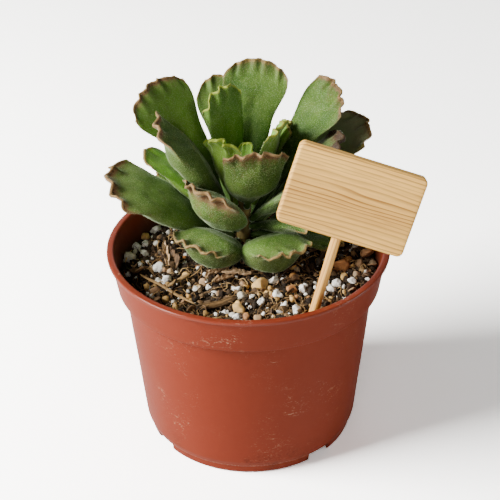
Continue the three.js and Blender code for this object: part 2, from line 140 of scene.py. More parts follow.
def repeated(faces, count, step):
    """The faces of count equal shapes, whose point numbers go up by step from one to the next."""
    return (faces + step * np.arange(count)[:, None, None]).reshape(-1, faces.shape[1])


def tube(points):
    """A closed skin from rings of points, shape (rows, columns, 3), with a fan on each end."""
    index = np.arange(points[..., 0].size).reshape(points.shape[:2])
    flat = np.concatenate([points.reshape(-1, 3), points[[0, -1]].mean(1)])
    fans = np.concatenate([fan_faces(index[0], len(flat) - 2), fan_faces(index[-1][::-1], len(flat) - 1)])
    return flat, [grid_faces(index), fans]


def all_round(count):
    """That many even directions round a circle."""
    return np.arange(count) * 2 * np.pi / count


def at(radius, turn, height):
    """Points (r cos a, r sin a, z) from radii, directions and heights, each a number or an array."""
    return np.stack(np.broadcast_arrays(radius * np.cos(turn), radius * np.sin(turn), height), -1)


def unit(vectors):
    """The vectors scaled to length 1."""
    return vectors / (np.linalg.norm(vectors, axis=-1, keepdims=True) + 1e-9)


def smoothstep(value, low, high):
    """0 below low, 1 above high, and 3t^2 - 2t^3 between."""
    t = np.clip((value - low) / (high - low), 0, 1)
    return t * t * (3 - 2 * t)


def lumps(points, size, seed):
    """Smooth noise from -1 to 1: random numbers on a lattice, blended between the eight nearest."""
    table = np.random.default_rng(seed).uniform(-1, 1, (32, 32, 32))
    place = np.asarray(points, float) / size
    cell = np.floor(place).astype(int)
    t = place - cell
    t = t * t * (3 - 2 * t)
    value = np.zeros(place.shape[:-1])
    for corner in np.ndindex(2, 2, 2):
        near = (cell + corner) % 32
        weight = np.where(corner, t, 1 - t).prod(-1)
        value += weight * table[near[..., 0], near[..., 1], near[..., 2]]
    return value


print("helpers ready")

# %% [markdown]
# ## Shader helpers
# Materials are networks of nodes. These short helpers add a node, wire it and set its values in one line,
# so each material reads as a recipe. A socket knows its own tree, so most helpers find the tree from it.

# %% Helpers that build a material
def feed(spot, value):
    """Wires another node's socket into this input, or writes a number or a colour into it."""
    if isinstance(value, bpy.types.NodeSocket):
        spot.id_data.links.new(value, spot)
    else:
        spot.default_value = (*value, 1) if spot.type == "RGBA" else value


def add(tree, kind, **settings):
    """A node of that kind. Settings name its properties, or its inputs by name or by in_NUMBER."""
    node = tree.nodes.new(kind)
    for key, value in settings.items():
        if hasattr(node, key):
            setattr(node, key, value)
        else:
            feed(node.inputs[int(key[3:]) if key.startswith("in_") else key.replace("_", " ")], value)
    return node


def object_place(tree):
    """The place on the piece, in metres, which stays put however the camera moves."""
    return add(tree, "ShaderNodeTexCoord").outputs["Object"]


def attribute(tree, name, output="Fac"):
    """A value that the mesh carries at its points."""
    return add(tree, "ShaderNodeAttribute", attribute_name=name).outputs[output]


def noise(where, scale, detail, **more):
    """Cloudy noise from 0 to 1."""
    node = add(where.id_data, "ShaderNodeTexNoise", Vector=where, Scale=scale, Detail=detail, **more)
    return node.outputs[0]


def ramp(value, *stops):
    """A colour ramp through (place, colour) stops. A colour is a grey number or three numbers."""
    node = add(value.id_data, "ShaderNodeValToRGB", Fac=value)
    marks = node.color_ramp.elements
    while len(marks) < len(stops):
        marks.new(0.5)
    for mark, (place, colour) in zip(marks, stops):
        mark.position = place
        mark.color = (*((colour,) * 3 if isinstance(colour, (int, float)) else colour), 1)
    return node.outputs[0]


def spread(value, low=0.0, high=1.0, to_low=0.0, to_high=1.0):
    """A straight line that takes low to to_low and high to to_high, and stays level outside."""
    node = add(value.id_data, "ShaderNodeMapRange", Value=value, From_Min=low, From_Max=high,
               To_Min=to_low, To_Max=to_high)
    return node.outputs[0]


def mix(amount, first, second):
    """Blends two colours, each a socket or three numbers, by an amount."""
    tree = next(v for v in (amount, first, second) if isinstance(v, bpy.types.NodeSocket)).id_data
    return add(tree, "ShaderNodeMix", data_type="RGBA", in_0=amount, in_6=first, in_7=second).outputs[2]


def sums(kind, first, second=0.5, third=0.5):
    """One arithmetic node."""
    node = add(first.id_data, "ShaderNodeMath", operation=kind, in_0=first, in_1=second, in_2=third)
    return node.outputs[0]


def times(first, *others):
    """The product of all the values."""
    for other in others:
        first = sums("MULTIPLY", first, other)
    return first


def plus(first, *others):
    """The sum of all the values."""
    for other in others:
        first = sums("ADD", first, other)
    return first


def bump(height, strength, distance=0.0002):
    """A normal tilted by small heights, of at most that distance in metres."""
    node = add(height.id_data, "ShaderNodeBump", Strength=strength, Distance=distance, Height=height)
    return node.outputs[0]


def dress(material, **inputs):
    """Feeds inputs of the material's Principled shader. Constants go straight onto its sockets."""
    shader = material.node_tree.nodes["Principled BSDF"]
    for key, value in inputs.items():
        feed(shader.inputs[key.replace("_", " ")], value)
    return material


def new_material(name, **constants):
    """A material with only a Principled shader, and its tree."""
    material = bpy.data.materials.new(name)
    material.use_nodes = True
    return dress(material, **constants), material.node_tree


def rgb(text):
    """Linear numbers of a colour written as a web colour, because shaders work on linear light."""
    channels = [int(text[i : i + 2], 16) / 255 for i in (0, 2, 4)]
    return tuple(c / 12.92 if c <= 0.04045 else ((c + 0.055) / 1.055) ** 2.4 for c in channels)


print("terracotta in linear light", [round(c, 3) for c in rgb("b0553c")])

# %% [markdown]
# ## A shared effect: mottling
# Skin, plastic, wood and soil all vary a little from place to place. One node group gives that as a mask:
# broad noise plus fine noise. It reads Object coordinates, so the pattern stays put on the piece.

# %% Node group for mottling
def make_mottle_group():
    """A share of fine noise and the rest of broad noise."""
    group = bpy.data.node_groups.new("mottle", "ShaderNodeTree")
    for name, value in (("Broad", 60.0), ("Fine", 900.0), ("Fine share", 0.4)):
        socket = group.interface.new_socket(name, in_out="INPUT", socket_type="NodeSocketFloat")
        socket.default_value = value
    group.interface.new_socket("Mask", in_out="OUTPUT", socket_type="NodeSocketFloat")
    scale_of_broad, scale_of_fine, share = add(group, "NodeGroupInput").outputs[:3]
    where = object_place(group)
    broad, fine = noise(where, scale_of_broad, 3.0), noise(where, scale_of_fine, 2.0)
    blend = add(group, "ShaderNodeMix", data_type="FLOAT", in_0=share, in_2=broad, in_3=fine)
    add(group, "NodeGroupOutput", in_0=blend.outputs[0])
    return group


MOTTLE = make_mottle_group()


def mottle(tree, broad, fine, share):
    """The mask of the mottling group, with its own scales in this material."""
    return add(tree, "ShaderNodeGroup", node_tree=MOTTLE, in_0=broad, in_1=fine, in_2=share).outputs[0]


print("node group", MOTTLE.name)

# %% [markdown]
# ## The leaves: shape
# Each leaf is a thick wedge on a short stalk. Its back bulges, its upper side has a furrow, and its far edge
# is a thin crest, gathered into waves. One formula serves every leaf: a middle surface that bends upwards,
# and a thickness on each side of it. The crest's waves swing along the surface's normal, and the same waves
# shifted along the leaf scallop its outline. Finer ripples ride on them.

# %% The list of leaves
STEM = (-1.5, 15.0)
STEM_RADIUS = 2.4
CREST_DEPTH = 7.0
# Looks that each leaf carries. Two of them set painted shade: how far it reaches up from the stalk, and how
# dark a crest is made.
LOOKS = ("age", "blush", "dusk", "deep", "dry")


def new_leaf(turn, lift, seat, length, width, **own):
    """Heading and rise in degrees, height on the stem, length and width in millimetres. A leaf is like most
    leaves, apart from what is its own."""
    most = dict(bend=-8, twist=0, under=4, over=2.2, taper=1.3, belly=0.62, blunt=0.54, flare=0.2, arch=0.12,
                slant=0, cup=0.08, groove=0.5, waves=4, ripple=1, phase=0, curl=0.8, lip=0.4, reach=None,
                age=0.5, blush=0.5, dusk=0.0, deep=0.62, dry=0.0)
    return SimpleNamespace(turn=turn, lift=lift, seat=seat, length=length, width=width, **{**most, **own})


LEAVES = [
    new_leaf(-124, 25, 59.5, 29, 20, twist=-4, bend=-4, under=7, over=4, taper=0.9, belly=0.45, blunt=0.62,
             flare=-0.05, groove=0, waves=3.6, ripple=0.85, curl=0, lip=0.5, age=1.0, blush=0.7, dusk=0.1),
    new_leaf(-62, 23, 59, 31, 19, bend=-4, under=7.5, over=4.4, taper=0.9, belly=0.45, blunt=0.62,
             flare=-0.05, groove=0, waves=3.8, ripple=0.8, curl=0, lip=0.48, age=0.62, blush=0.6, dusk=0.1),
    new_leaf(191, 37, 60, 48.5, 26.5, twist=-9, bend=-7, under=5, over=3.4, belly=0.5, blunt=0.64,
             flare=0.2, groove=0, waves=3.3, ripple=1.25, curl=0.3, lip=0.55, age=0.66, blush=1.3,
             dusk=0.17),
    new_leaf(-122, 52, 64.5, 31.5, 21.5, twist=-10, bend=-6, under=6, over=3.6, taper=0.9, belly=0.45,
             blunt=0.64, flare=0.08, groove=0, waves=3.8, ripple=1.0, curl=0, lip=0.6, age=0.93, blush=1.8),
    new_leaf(-157, 60.5, 69, 45, 20, twist=-13, under=5, over=3.8, belly=0.5, blunt=0.68, flare=0.12,
             arch=0.04, groove=0, waves=2.5, ripple=0.95, curl=0, lip=0.55, age=1.0, blush=0.95, deep=0.85),
    new_leaf(165, 47, 62, 39.5, 16, twist=7, bend=-10, under=3, waves=2.5, ripple=0.4, lip=0.5, age=0.0,
             blush=0.4),
    new_leaf(160, 63.2, 65.5, 52.6, 26, twist=-18, bend=-10, flare=0.4, arch=0.09, waves=5, ripple=0.8,
             curl=1.2, age=0.32, blush=0.9, dusk=0.08),
    new_leaf(-72, 67, 73, 28, 20.5, twist=-7, bend=-4, under=5.6, over=1.8, taper=0.8, belly=0.5, blunt=0.6,
             flare=0.12, arch=0.08, waves=4.2, ripple=0.9, phase=200, curl=0.2, lip=0.52, age=0.85,
             blush=1.15),
    new_leaf(-134, 80, 73.5, 27, 14, twist=7, bend=-6, under=3, over=1.6, waves=2.6, ripple=1.4, phase=60,
             lip=0.55, age=0.0, blush=0.12),
    new_leaf(61, 86, 75, 18, 6.5, twist=-9, bend=-4, under=1.6, over=1.2, groove=0.2, waves=2, ripple=0.8,
             reach=1.2, curl=0.3, age=0.05, blush=0.0),
    new_leaf(126, 81, 72, 38, 14.5, twist=2, bend=-6, under=2.4, over=1.8, flare=0.14, arch=0.1, slant=0.06,
             waves=3.5, ripple=1.1, age=0.4, blush=0.15),
    new_leaf(76, 74, 68, 49.5, 21, twist=7, bend=-12, flare=0.38, arch=0.1, waves=5.2, ripple=0.6, curl=0.6,
             age=0.97, blush=0.62),
    new_leaf(111, 69, 65.5, 47, 15, twist=-18, bend=-10, under=2.8, flare=0.3, waves=3, ripple=0.8,
             age=0.42, blush=0.4, dusk=0.1),
    new_leaf(-15, 76, 75, 29.5, 18, twist=-8, bend=-6, under=2.2, over=1.5, taper=2, flare=0.1, age=0.1,
             blush=0.2),
    new_leaf(31, 67, 71, 30, 9, twist=-10, bend=-6, under=2.2, over=1.6, waves=3, ripple=0.9, age=0.15,
             blush=0.3),
    new_leaf(23, 61, 66.5, 50.8, 19.8, twist=10, bend=-12, under=3.6, flare=0.34, arch=0.06, slant=-0.05,
             curl=1.2, age=0.93, blush=0.85),
    new_leaf(20, 47, 61.8, 52, 22, twist=7, bend=-10, under=3.6, flare=0.25, curl=1.2, age=0.1, blush=0.8,
             dusk=1.0),
    # This leaf's crest gets painted shade.
    new_leaf(-4, 57, 64, 44.5, 16, bend=-12, under=3, waves=3, lip=0.6, age=1.0, blush=1.5, dusk=0.2,
             dry=0.85),
    new_leaf(-43, 47, 67.7, 35.5, 17, twist=8, under=3.6, over=1.8, age=0.9, deep=0.9),
    new_leaf(-39, 25, 64.8, 31, 16, twist=-8, under=2.8, waves=3, age=0.95, deep=0.9),
    new_leaf(-19, 8, 61.2, 31, 14, bend=-4, under=2.8, age=0.95, deep=0.9),
    new_leaf(101, 34, 61, 33, 16, age=0.7),
    new_leaf(61, 35, 60.5, 35, 17, age=0.7),
    new_leaf(26, 15, 59.3, 30, 15, bend=-6, waves=3.5, age=0.8),
    new_leaf(140, 30, 60, 35, 18, age=0.7),
]
print(len(LEAVES), "leaves")

# %% The leaf formula
def middle_surface(leaf, u, s):
    """Points and normals of the middle surface. u runs from stalk to crest and s from side to side. Its
    middle line is an arc whose slope changes by bend over the length; rows bow and slant as told.
    Width grows as a power of a sine, and flares again before the crest. The crest curls back, and gathers
    swing it to and fro: a flat-topped sine of the place across, whose spacing and height are uneven."""
    t = u * (1 - leaf.arch * s * s * u - leaf.slant * s * u - 0.02 * s**8 * u**4)
    start, bend = math.radians(leaf.lift), math.radians(leaf.bend)
    slope = start + bend * t
    out = leaf.length * (np.sin(slope) - math.sin(start)) / bend
    rise = leaf.length * (math.cos(start) - np.cos(slope)) / bend
    reach = leaf.reach or STEM_RADIUS + 0.3 + min(1.1, 0.15 * leaf.width) * math.sin(start)
    turn = math.radians(leaf.turn)
    heading = np.array([math.cos(turn), math.sin(turn), 0])
    side = np.array([-math.sin(turn), math.cos(turn), 0])
    top = np.array([0, 0, 1.0])
    along = np.cos(slope)[..., None] * heading + np.sin(slope)[..., None] * top
    normal = np.cos(slope)[..., None] * top - np.sin(slope)[..., None] * heading
    twist = np.radians(leaf.twist * smoothstep(t, 0, 0.5))[..., None]
    across = np.cos(twist) * side + np.sin(twist) * normal
    normal = np.cos(twist) * normal - np.sin(twist) * side
    half = leaf.width / 2
    stalk = min(1.15, 0.35 * half)
    grown = np.sin(np.pi / 2 * np.clip((u - 0.1) / leaf.belly, 0, 1)) ** leaf.taper
    wide = stalk + (half * (1 - leaf.flare * (1 - smoothstep(u, 0.62, 0.94))) - stalk) * grown
    even = leaf.waves * np.pi * s + math.radians(leaf.phase)
    phase = even + 0.8 * np.sin(0.61 * even + leaf.turn)
    crest = leaf.ripple * smoothstep(u, 1 - CREST_DEPTH / leaf.length, 1)
    crest = crest * (0.8 + 0.3 * np.sin(0.83 * even + leaf.lift))
    tip = leaf.ripple * smoothstep(u, 1 - 0.5 * CREST_DEPTH / leaf.length, 1)
    swing = crest * (1.2 - 0.2 * np.sin(phase) ** 2) * np.sin(phase)
    swing = swing + 0.14 * tip * np.sin(2.7 * phase + leaf.turn)
    scallop = 0.42 * crest * np.cos(phase + 0.9) + 0.12 * tip * np.cos(2.7 * phase + leaf.lift)
    cup = leaf.cup * half * s * s * smoothstep(u, 0.2, 0.8) - leaf.curl * smoothstep(u, 0.7, 1) ** 2
    points = (np.array([*STEM, leaf.seat]) + (reach + out)[..., None] * heading + rise[..., None] * top
              + (wide * s)[..., None] * across + (swing + cup)[..., None] * normal
              + scallop[..., None] * along)
    return points, normal


def half_thickness(leaf, u, s, under):
    """Plump in the body, thin at the crest with a rounded bead along it, and a furrow on the upper side."""
    stalk = min(1.1, 0.15 * leaf.width)
    plump = leaf.under if under else leaf.over
    body = (stalk + (plump - stalk) * smoothstep(u, 0.08, 0.52)) * (1 - smoothstep(u, leaf.blunt, 0.97))
    inwards = (1 - u) * leaf.length
    bead = leaf.lip * (0.72 + 0.45 * np.exp(-(((inwards / leaf.lip - 1.2) / 1.3) ** 2)))
    edge = bead * np.sqrt(1 - np.clip(1 - inwards / (1.3 * leaf.lip), 0, 1) ** 2)
    if under:
        return np.hypot(np.maximum(body, 0), edge)
    furrow = leaf.groove * np.exp(-((s / 0.35) ** 2))
    furrow = furrow * smoothstep(u, 0.1, 0.5) * (1 - smoothstep(u, 0.6, 0.92))
    return np.maximum(body, edge) - furrow


def leaf_surface(leaf, u, angle):
    """The skin: angle goes round the section, over the upper side and back under, with s = -cos(angle).
    The skin lies off the middle surface by the half-thickness times sin(angle), plus soft lumps."""
    s, lift = -np.cos(angle), np.sin(angle)
    points, normal = middle_surface(leaf, u, s)
    off = np.where(lift > 0, half_thickness(leaf, u, s, False), half_thickness(leaf, u, s, True))
    plain = points + (off * lift)[..., None] * normal
    soft = 0.38 * smoothstep(u, 0.15, 0.4) * (1 - smoothstep(u, 0.8, 0.95)) * np.abs(lift)
    push = soft * (lumps(plain, 5.0, 11) + 0.4 * lumps(plain, 2.2, 12)) * np.sign(lift)
    return plain + push[..., None] * normal


print("skin point at the first leaf's crest", leaf_surface(LEAVES[0], np.array(1.0), np.array(1.57)).round(1))

# %% [markdown]
# ## The leaves: hairs
# The skin is covered with very short pale hairs, which give each leaf a soft bright rim against the light.
# They are modelled as real slivers: a four-sided spike, standing on the skin and leaning a little.

# %% Hairs on a leaf
HAIR_LENGTH = 0.42
HAIR_WIDTH = 0.05


def hairs_on(leaf, count, seed):
    """Spikes at random places. The skin's normal is the cross product of two small steps over it."""
    random = np.random.default_rng(seed)
    u = 0.1 + 0.9 * random.random(count) ** 0.6
    angle = 2 * np.pi * random.random(count)
    root = leaf_surface(leaf, u, angle)
    step_u = leaf_surface(leaf, u + 0.004, angle) - root
    step_a = leaf_surface(leaf, u, angle + 0.01) - root
    normal = unit(np.cross(step_u, step_a))
    outward = np.einsum("ij,ij->i", normal, root - middle_surface(leaf, u, -np.cos(angle))[0])
    normal *= np.sign(outward + 1e-12)[:, None]
    lean = unit(normal + 0.55 * random.normal(size=(count, 3)))
    flat = unit(np.cross(lean, random.normal(size=(count, 3))))
    other = np.cross(lean, flat)
    length = HAIR_LENGTH * random.uniform(0.5, 1.2, (count, 1))
    feet = [root - 0.05 * normal + HAIR_WIDTH / 2 * (math.cos(a) * flat + math.sin(a) * other)
            for a in all_round(3)]
    points = np.stack([*feet, root + length * lean], axis=1).reshape(-1, 3)
    spike = np.array([[0, 2, 1], [0, 1, 3], [1, 2, 3], [2, 0, 3]])
    return points, repeated(spike, count, 4)


print(len(hairs_on(LEAVES[0], 10, 1)[0]), "points for ten hairs")

# %% [markdown]
# ## The leaves: skin
# The real skin is a soft satin green, lighter on the young leaves in the heart and duller on the oldest, with
# painted shade near the stalk. Its hairs make it velvety, and a painted sheen makes it paler where it is seen
# at a slant. The crest is lime on the youngest leaves, ochre where there is little blush and rusty where
# there is much, with a brownish blush below it; one leaf's crest is darkened as painted shade. The colours
# follow the leaf's own coordinates, which every leaf carries as a UV map: across in x, and from stalk to
# crest in y.

# %% Material of the leaf skin
def make_leaf_material():
    """Greens by age and side, painted shade towards the stalk, a painted sheen, hair dots and a browned rim.
    """
    material, tree = new_material("leaf skin", Subsurface_Weight=0.1, Subsurface_Scale=0.001,
                                  Subsurface_Radius=(0.8, 1.4, 0.4), Sheen_Weight=0.32, Sheen_Roughness=0.25,
                                  Sheen_Tint=(0.8, 0.95, 0.7), Specular_IOR_Level=0.14)
    where = object_place(tree)
    skin = add(tree, "ShaderNodeSeparateXYZ", in_0=add(tree, "ShaderNodeUVMap", uv_map="skin").outputs[0])
    along, under, rim = skin.outputs[1], attribute(tree, "under"), attribute(tree, "rim")
    age, blush, dusk, deep_end, dry = (attribute(tree, look) for look in LOOKS)
    streak, speck = noise(where, 420.0, 3.0), noise(where, 1700.0, 2.0)
    patches = mottle(tree, 130.0, 1500.0, 0.35)
    upper = ramp(age, (0.0, (0.17, 0.38, 0.035)), (0.4, (0.052, 0.125, 0.0105)),
                 (1.0, (0.026, 0.068, 0.0078)))
    lower = ramp(age, (0.0, (0.15, 0.27, 0.03)), (0.4, (0.046, 0.088, 0.013)), (1.0, (0.027, 0.054, 0.008)))
    green = mix(ramp(patches, (0.38, 0.0), (0.62, 0.5)), mix(under, upper, lower), (0.12, 0.2, 0.03))
    # Painted shade: the skin darkens towards the stalk, as far up as each leaf sets, and less on young
    # leaves.
    depth = times(spread(along, 0.1, deep_end, 0.7, 0.0), ramp(age, (0.0, 0.2), (0.5, 1.0)))
    green = mix(depth, green, (0.02, 0.05, 0.006))
    cells = add(tree, "ShaderNodeTexVoronoi", Vector=where, Scale=2500.0).outputs["Distance"]
    dots = ramp(cells, (0.12, 1.0), (0.42, 0.0))
    frost = ramp(along, (0.15, 0.15), (0.75, 1.0))
    green = mix(times(dots, frost, sums("MULTIPLY_ADD", under, 0.12, 0.24)), green, (0.5, 0.6, 0.32))
    green = mix(times(dusk, ramp(along, (0.68, 0.3), (0.9, 0.9))), green, (0.21, 0.2, 0.12))
    warm = plus(rim, times(sums("SUBTRACT", streak, 0.5), 0.6), times(sums("SUBTRACT", speck, 0.5), 0.9))
    flush = times(ramp(warm, (0.1, 0.0), (0.75, 0.9)), blush)
    green = mix(flush, green, (0.13, 0.075, 0.037))
    # Painted sheen: the skin is made paler where it is seen at a slant, standing in for light caught by the
    # hairs.
    facing = add(tree, "ShaderNodeLayerWeight", Blend=0.3).outputs["Facing"]
    green = mix(ramp(facing, (0.55, 0.0), (0.9, 0.42)), green, (0.34, 0.45, 0.22))
    much = ramp(blush, (0.6, 0.0), (0.95, 1.0))
    shade = mix(much, (0.07, 0.045, 0.012), (0.05, 0.02, 0.009))
    light = mix(much, (0.26, 0.18, 0.055), (0.165, 0.085, 0.04))
    brown = mix(ramp(speck, (0.35, 0.0), (0.65, 1.0)), shade, light)
    brown = mix(spread(rim, 1.12, 1.4, 0.0, 0.5), brown, (0.3, 0.2, 0.085))
    lime = mix(streak, (0.16, 0.23, 0.016), (0.27, 0.33, 0.045))
    margin = mix(ramp(blush, (0.1, 0.0), (0.4, 1.0)), lime, brown)
    colour = mix(ramp(warm, (0.5, 0.0), (0.95, 0.97)), green, margin)
    # Painted shade on a crest: where a leaf sets it, the brown near the rim is darkened almost to black.
    colour = mix(times(flush, dry, 0.8), colour, (0.03, 0.017, 0.009))
    height = plus(times(dots, 0.5), noise(where, 1400.0, 2.0))
    return dress(material, Base_Color=colour, Roughness=spread(patches, to_low=0.5, to_high=0.7),
                 Normal=bump(height, 0.3))


def make_hair_material():
    """Pale greens, mottled."""
    material, tree = new_material("leaf hair", Roughness=0.6, Specular_IOR_Level=0.3)
    shade = mottle(tree, 200.0, 2500.0, 0.5)
    return dress(material, Base_Color=mix(shade, (0.12, 0.18, 0.06), (0.6, 0.66, 0.42)))


leaf_skin = make_leaf_material()
leaf_hair = make_hair_material()
print("materials", leaf_skin.name, leaf_hair.name)

# %% Build the leaves
LEAF_ROWS = 56
LEAF_COLUMNS = 132
HAIRS_PER_LEAF = 2600


def make_leaf(number, leaf):
    """Rows crowd towards the crest, where the waves are, and columns go once round the section. The last ring
    closes on itself, where the two faces meet in the crest."""
    along = 1 - (1 - np.linspace(0, 1, LEAF_ROWS)) ** 1.6
    u, angle = np.meshgrid(along, all_round(LEAF_COLUMNS), indexing="ij")
    points = leaf_surface(leaf, u, angle)
    index = np.arange(u.size).reshape(u.shape)
    index[-1, LEAF_COLUMNS // 2 + 1 :] = index[-1, 1 : LEAF_COLUMNS // 2][::-1]
    hair, spikes = hairs_on(leaf, HAIRS_PER_LEAF, number)
    everything = np.concatenate([points.reshape(-1, 3), points[0].mean(0)[None], hair])
    quads, fan = grid_faces(index), fan_faces(index[0], u.size)
    which = np.repeat([0, 1], [len(quads) + len(fan), len(spikes)])
    across = -np.cos(angle)
    inwards = (1 - u) * leaf.length
    rim = np.exp(-((inwards / (0.7 + 1.0 * leaf.blush**2)) ** 2)) + 0.42 * np.exp(-inwards / 4.0)
    rim += 0.4 * np.exp(-(((1 - np.abs(across)) / 0.05) ** 2)) * smoothstep(u, 0.7, 0.97)
    uv = np.zeros((len(everything), 2))
    uv[: u.size] = np.stack([0.5 + 0.5 * across, u], -1).reshape(-1, 2)
    values = {"under": smoothstep(-np.sin(angle), -0.15, 0.15), "rim": rim}
    values.update((look, np.full(u.shape, float(getattr(leaf, look)))) for look in LOOKS)
    values = {key: np.pad(value.ravel(), (0, len(everything) - u.size)) for key, value in values.items()}
    new_piece(f"plump_leaf_{number:02d}", everything, [quads, np.concatenate([fan, spikes + u.size + 1])],
              [leaf_skin, leaf_hair], "leaf", f"leaf_{number:02d}", which, values, uv)


for number, leaf in enumerate(LEAVES, 1):
    make_leaf(number, leaf)

# %% [markdown]
# ## The pot: shape
# The pot is moulded in one piece: a tapered body, a wider collar under a small lip, and a foot ring with
# four notches that lets water run out. A profile turned about the middle axis gives all of it. The corners
# of the profile are rounded by small curves, and the notches lift the foot ring inside four narrow sectors.

# %% Sizes and profile of the pot
POT_HEIGHT = 66.5
COLLAR_BOTTOM = 54.0
SKIRT_HEIGHT = 3.2
SKIRT_RADIUS = 33.9
FLOOR_TOP = 4.6
FLOOR_BOTTOM = 3.2
POT_WALL = 1.4
STEP_LOW = COLLAR_BOTTOM + 0.4
STEP_HIGH = COLLAR_BOTTOM + 1.9


def body_inside(z):
    """Inner radius of the tapered body: a straight line from foot to collar, less the wall."""
    return np.interp(z, (SKIRT_HEIGHT, COLLAR_BOTTOM), (35.0, 39.9)) - POT_WALL


def collar_inside(z):
    """Inner radius of the collar, less the wall."""
    return np.interp(z, (COLLAR_BOTTOM, POT_HEIGHT), (42.3, 43.9)) - POT_WALL


POT_PROFILE = np.array([
    (0.0, 0.0), (9.0, 0.0), (9.6, FLOOR_BOTTOM),
    (SKIRT_RADIUS - 1.7, FLOOR_BOTTOM), (SKIRT_RADIUS - 1.4, 0.0),
    (SKIRT_RADIUS - 0.7, 0.0), (SKIRT_RADIUS - 0.1, 0.9), (SKIRT_RADIUS + 0.1, SKIRT_HEIGHT),
    (SKIRT_RADIUS + 0.5, SKIRT_HEIGHT + 0.15), (35.15, SKIRT_HEIGHT + 2.2), (39.9, COLLAR_BOTTOM),
    (42.1, COLLAR_BOTTOM + 0.1), (43.9, 65.15), (45.0, 65.35), (45.0, 66.2), (44.7, POT_HEIGHT),
    (43.0, POT_HEIGHT), (collar_inside(POT_HEIGHT), 65.9), (collar_inside(STEP_HIGH), STEP_HIGH),
    (body_inside(STEP_LOW), STEP_LOW), (body_inside(FLOOR_TOP + 2), FLOOR_TOP + 2),
    (body_inside(FLOOR_TOP) - 2, FLOOR_TOP), (0.0, FLOOR_TOP),
])


def rounded(profile, reach, spacing):
    """Each corner becomes a curve (1-t)^2 a + 2t(1-t) b + t^2 c between points on its two edges, at most
    reach from it, and long edges get points in between."""
    t = np.linspace(0, 1, 5)[:, None]
    parts = [profile[:1]]
    for a, b, c in zip(profile[:-2], profile[1:-1], profile[2:]):
        before, after = np.linalg.norm(a - b), np.linalg.norm(c - b)
        start = b + (a - b) * min(reach / before, 0.42)
        end = b + (c - b) * min(reach / after, 0.42)
        parts.append((1 - t) ** 2 * start + 2 * t * (1 - t) * b + t * t * end)
    corners = np.concatenate([*parts, profile[-1:]])
    steps = np.linalg.norm(np.diff(corners, axis=0), axis=1)
    count = np.maximum(1, np.ceil(steps / spacing)).astype(int)
    filled = [p + (q - p) * np.arange(n)[:, None] / n for p, q, n in zip(corners[:-1], corners[1:], count)]
    return np.concatenate([*filled, corners[-1:]])


pot_profile = rounded(POT_PROFILE, 0.42, 2.4)
print("pot profile:", len(pot_profile), "points")

# %% Material of the pot
def make_pot_material():
    """Matt moulded plastic, a little uneven in colour. Scratches are the thin lines where smooth noise passes
    its middle, broken up and kept to a few patches. The foot's step is worn, the wall above it is soiled, the
    inside is dusty down to the soil, and the lip is polished. Height is in tenths of a metre."""
    material, tree = new_material("terracotta plastic", Specular_IOR_Level=0.07, Coat_Roughness=0.12)
    where = object_place(tree)
    x, y, z = add(tree, "ShaderNodeSeparateXYZ", in_0=where).outputs
    height = times(z, 10.0)
    wide = add(tree, "ShaderNodeMapping", in_0=where, Scale=(1.0, 1.0, 2.2)).outputs[0]
    scratch = noise(wide, 700.0, 4.0, Distortion=2.0)
    path = noise(wide, 110.0, 3.0, Distortion=0.6)
    cloud = noise(where, 70.0, 2.0)
    line = ramp(path, (0.488, 0.0), (0.496, 1.0), (0.504, 1.0), (0.512, 0.0))
    broken = ramp(scratch, (0.5, 0.0), (0.56, 1.0))
    near_foot = ramp(height, (0.029, 0.0), (0.0325, 1.0), (0.036, 1.0), (0.041, 0.0))
    flecks = times(ramp(scratch, (0.62, 0.0), (0.68, 1.0)), ramp(cloud, (0.5, 0.0), (0.64, 1.0)))
    worn = times(line, broken, ramp(cloud, (0.6, 0.0), (0.66, 1.0)))
    worn = sums("MAXIMUM", worn, times(broken, near_foot, 0.6))
    worn = sums("MAXIMUM", worn, times(flecks, 0.4))
    colour = mix(mottle(tree, 25.0, 500.0, 0.3), (0.141, 0.0208, 0.0088), (0.188, 0.03, 0.0132))
    colour = mix(times(worn, 0.5), colour, (0.5, 0.3, 0.2))
    soiled = times(ramp(scratch, (0.42, 1.0), (0.5, 0.0)), ramp(height, (0.03, 1.0), (0.12, 0.0)),
                   ramp(cloud, (0.5, 0.0), (0.6, 1.0)), 0.65)
    colour = mix(soiled, colour, (0.02, 0.008, 0.004))
    radius = sums("SQRT", plus(times(x, x), times(y, y)))
    within_wall = sums("LESS_THAN", sums("SUBTRACT", radius, times(z, 0.128)), 0.0347)
    inside = times(within_wall, sums("GREATER_THAN", z, 0.0545))
    dust = times(ramp(height, (0.575, 0.9), (0.645, 0.15)), inside, ramp(cloud, (0.3, 0.5), (0.6, 1.0)))
    colour = mix(dust, colour, (0.055, 0.025, 0.014))
    rough = spread(mottle(tree, 90.0, 1500.0, 0.5), to_low=0.36, to_high=0.55)
    relief = plus(noise(where, 1800.0, 2.0), times(worn, 1.5))
    return dress(material, Base_Color=colour, Roughness=plus(rough, times(worn, 0.3)),
                 Coat_Weight=ramp(height, (0.645, 0.0), (0.655, 0.4)), Normal=bump(relief, 0.12))


pot_plastic = make_pot_material()
print("material", pot_plastic.name)

# %% Build the pot
NOTCH_TURNS = (-49, 33, 131, 213)
NOTCH_HALF = math.degrees(4.5 / SKIRT_RADIUS)
NOTCH_TOP = SKIRT_HEIGHT - 0.2


def pot_angles():
    """Even steps, and two directions a hair's breadth apart at each side of each notch, for upright edges."""
    even = np.arange(0, 360, 1.35)
    sides = [turn + side * (NOTCH_HALF + gap)
             for turn in NOTCH_TURNS for side in (-1, 1) for gap in (-0.03, 0.03)]
    return np.unique(np.concatenate([even, np.mod(sides, 360)]))


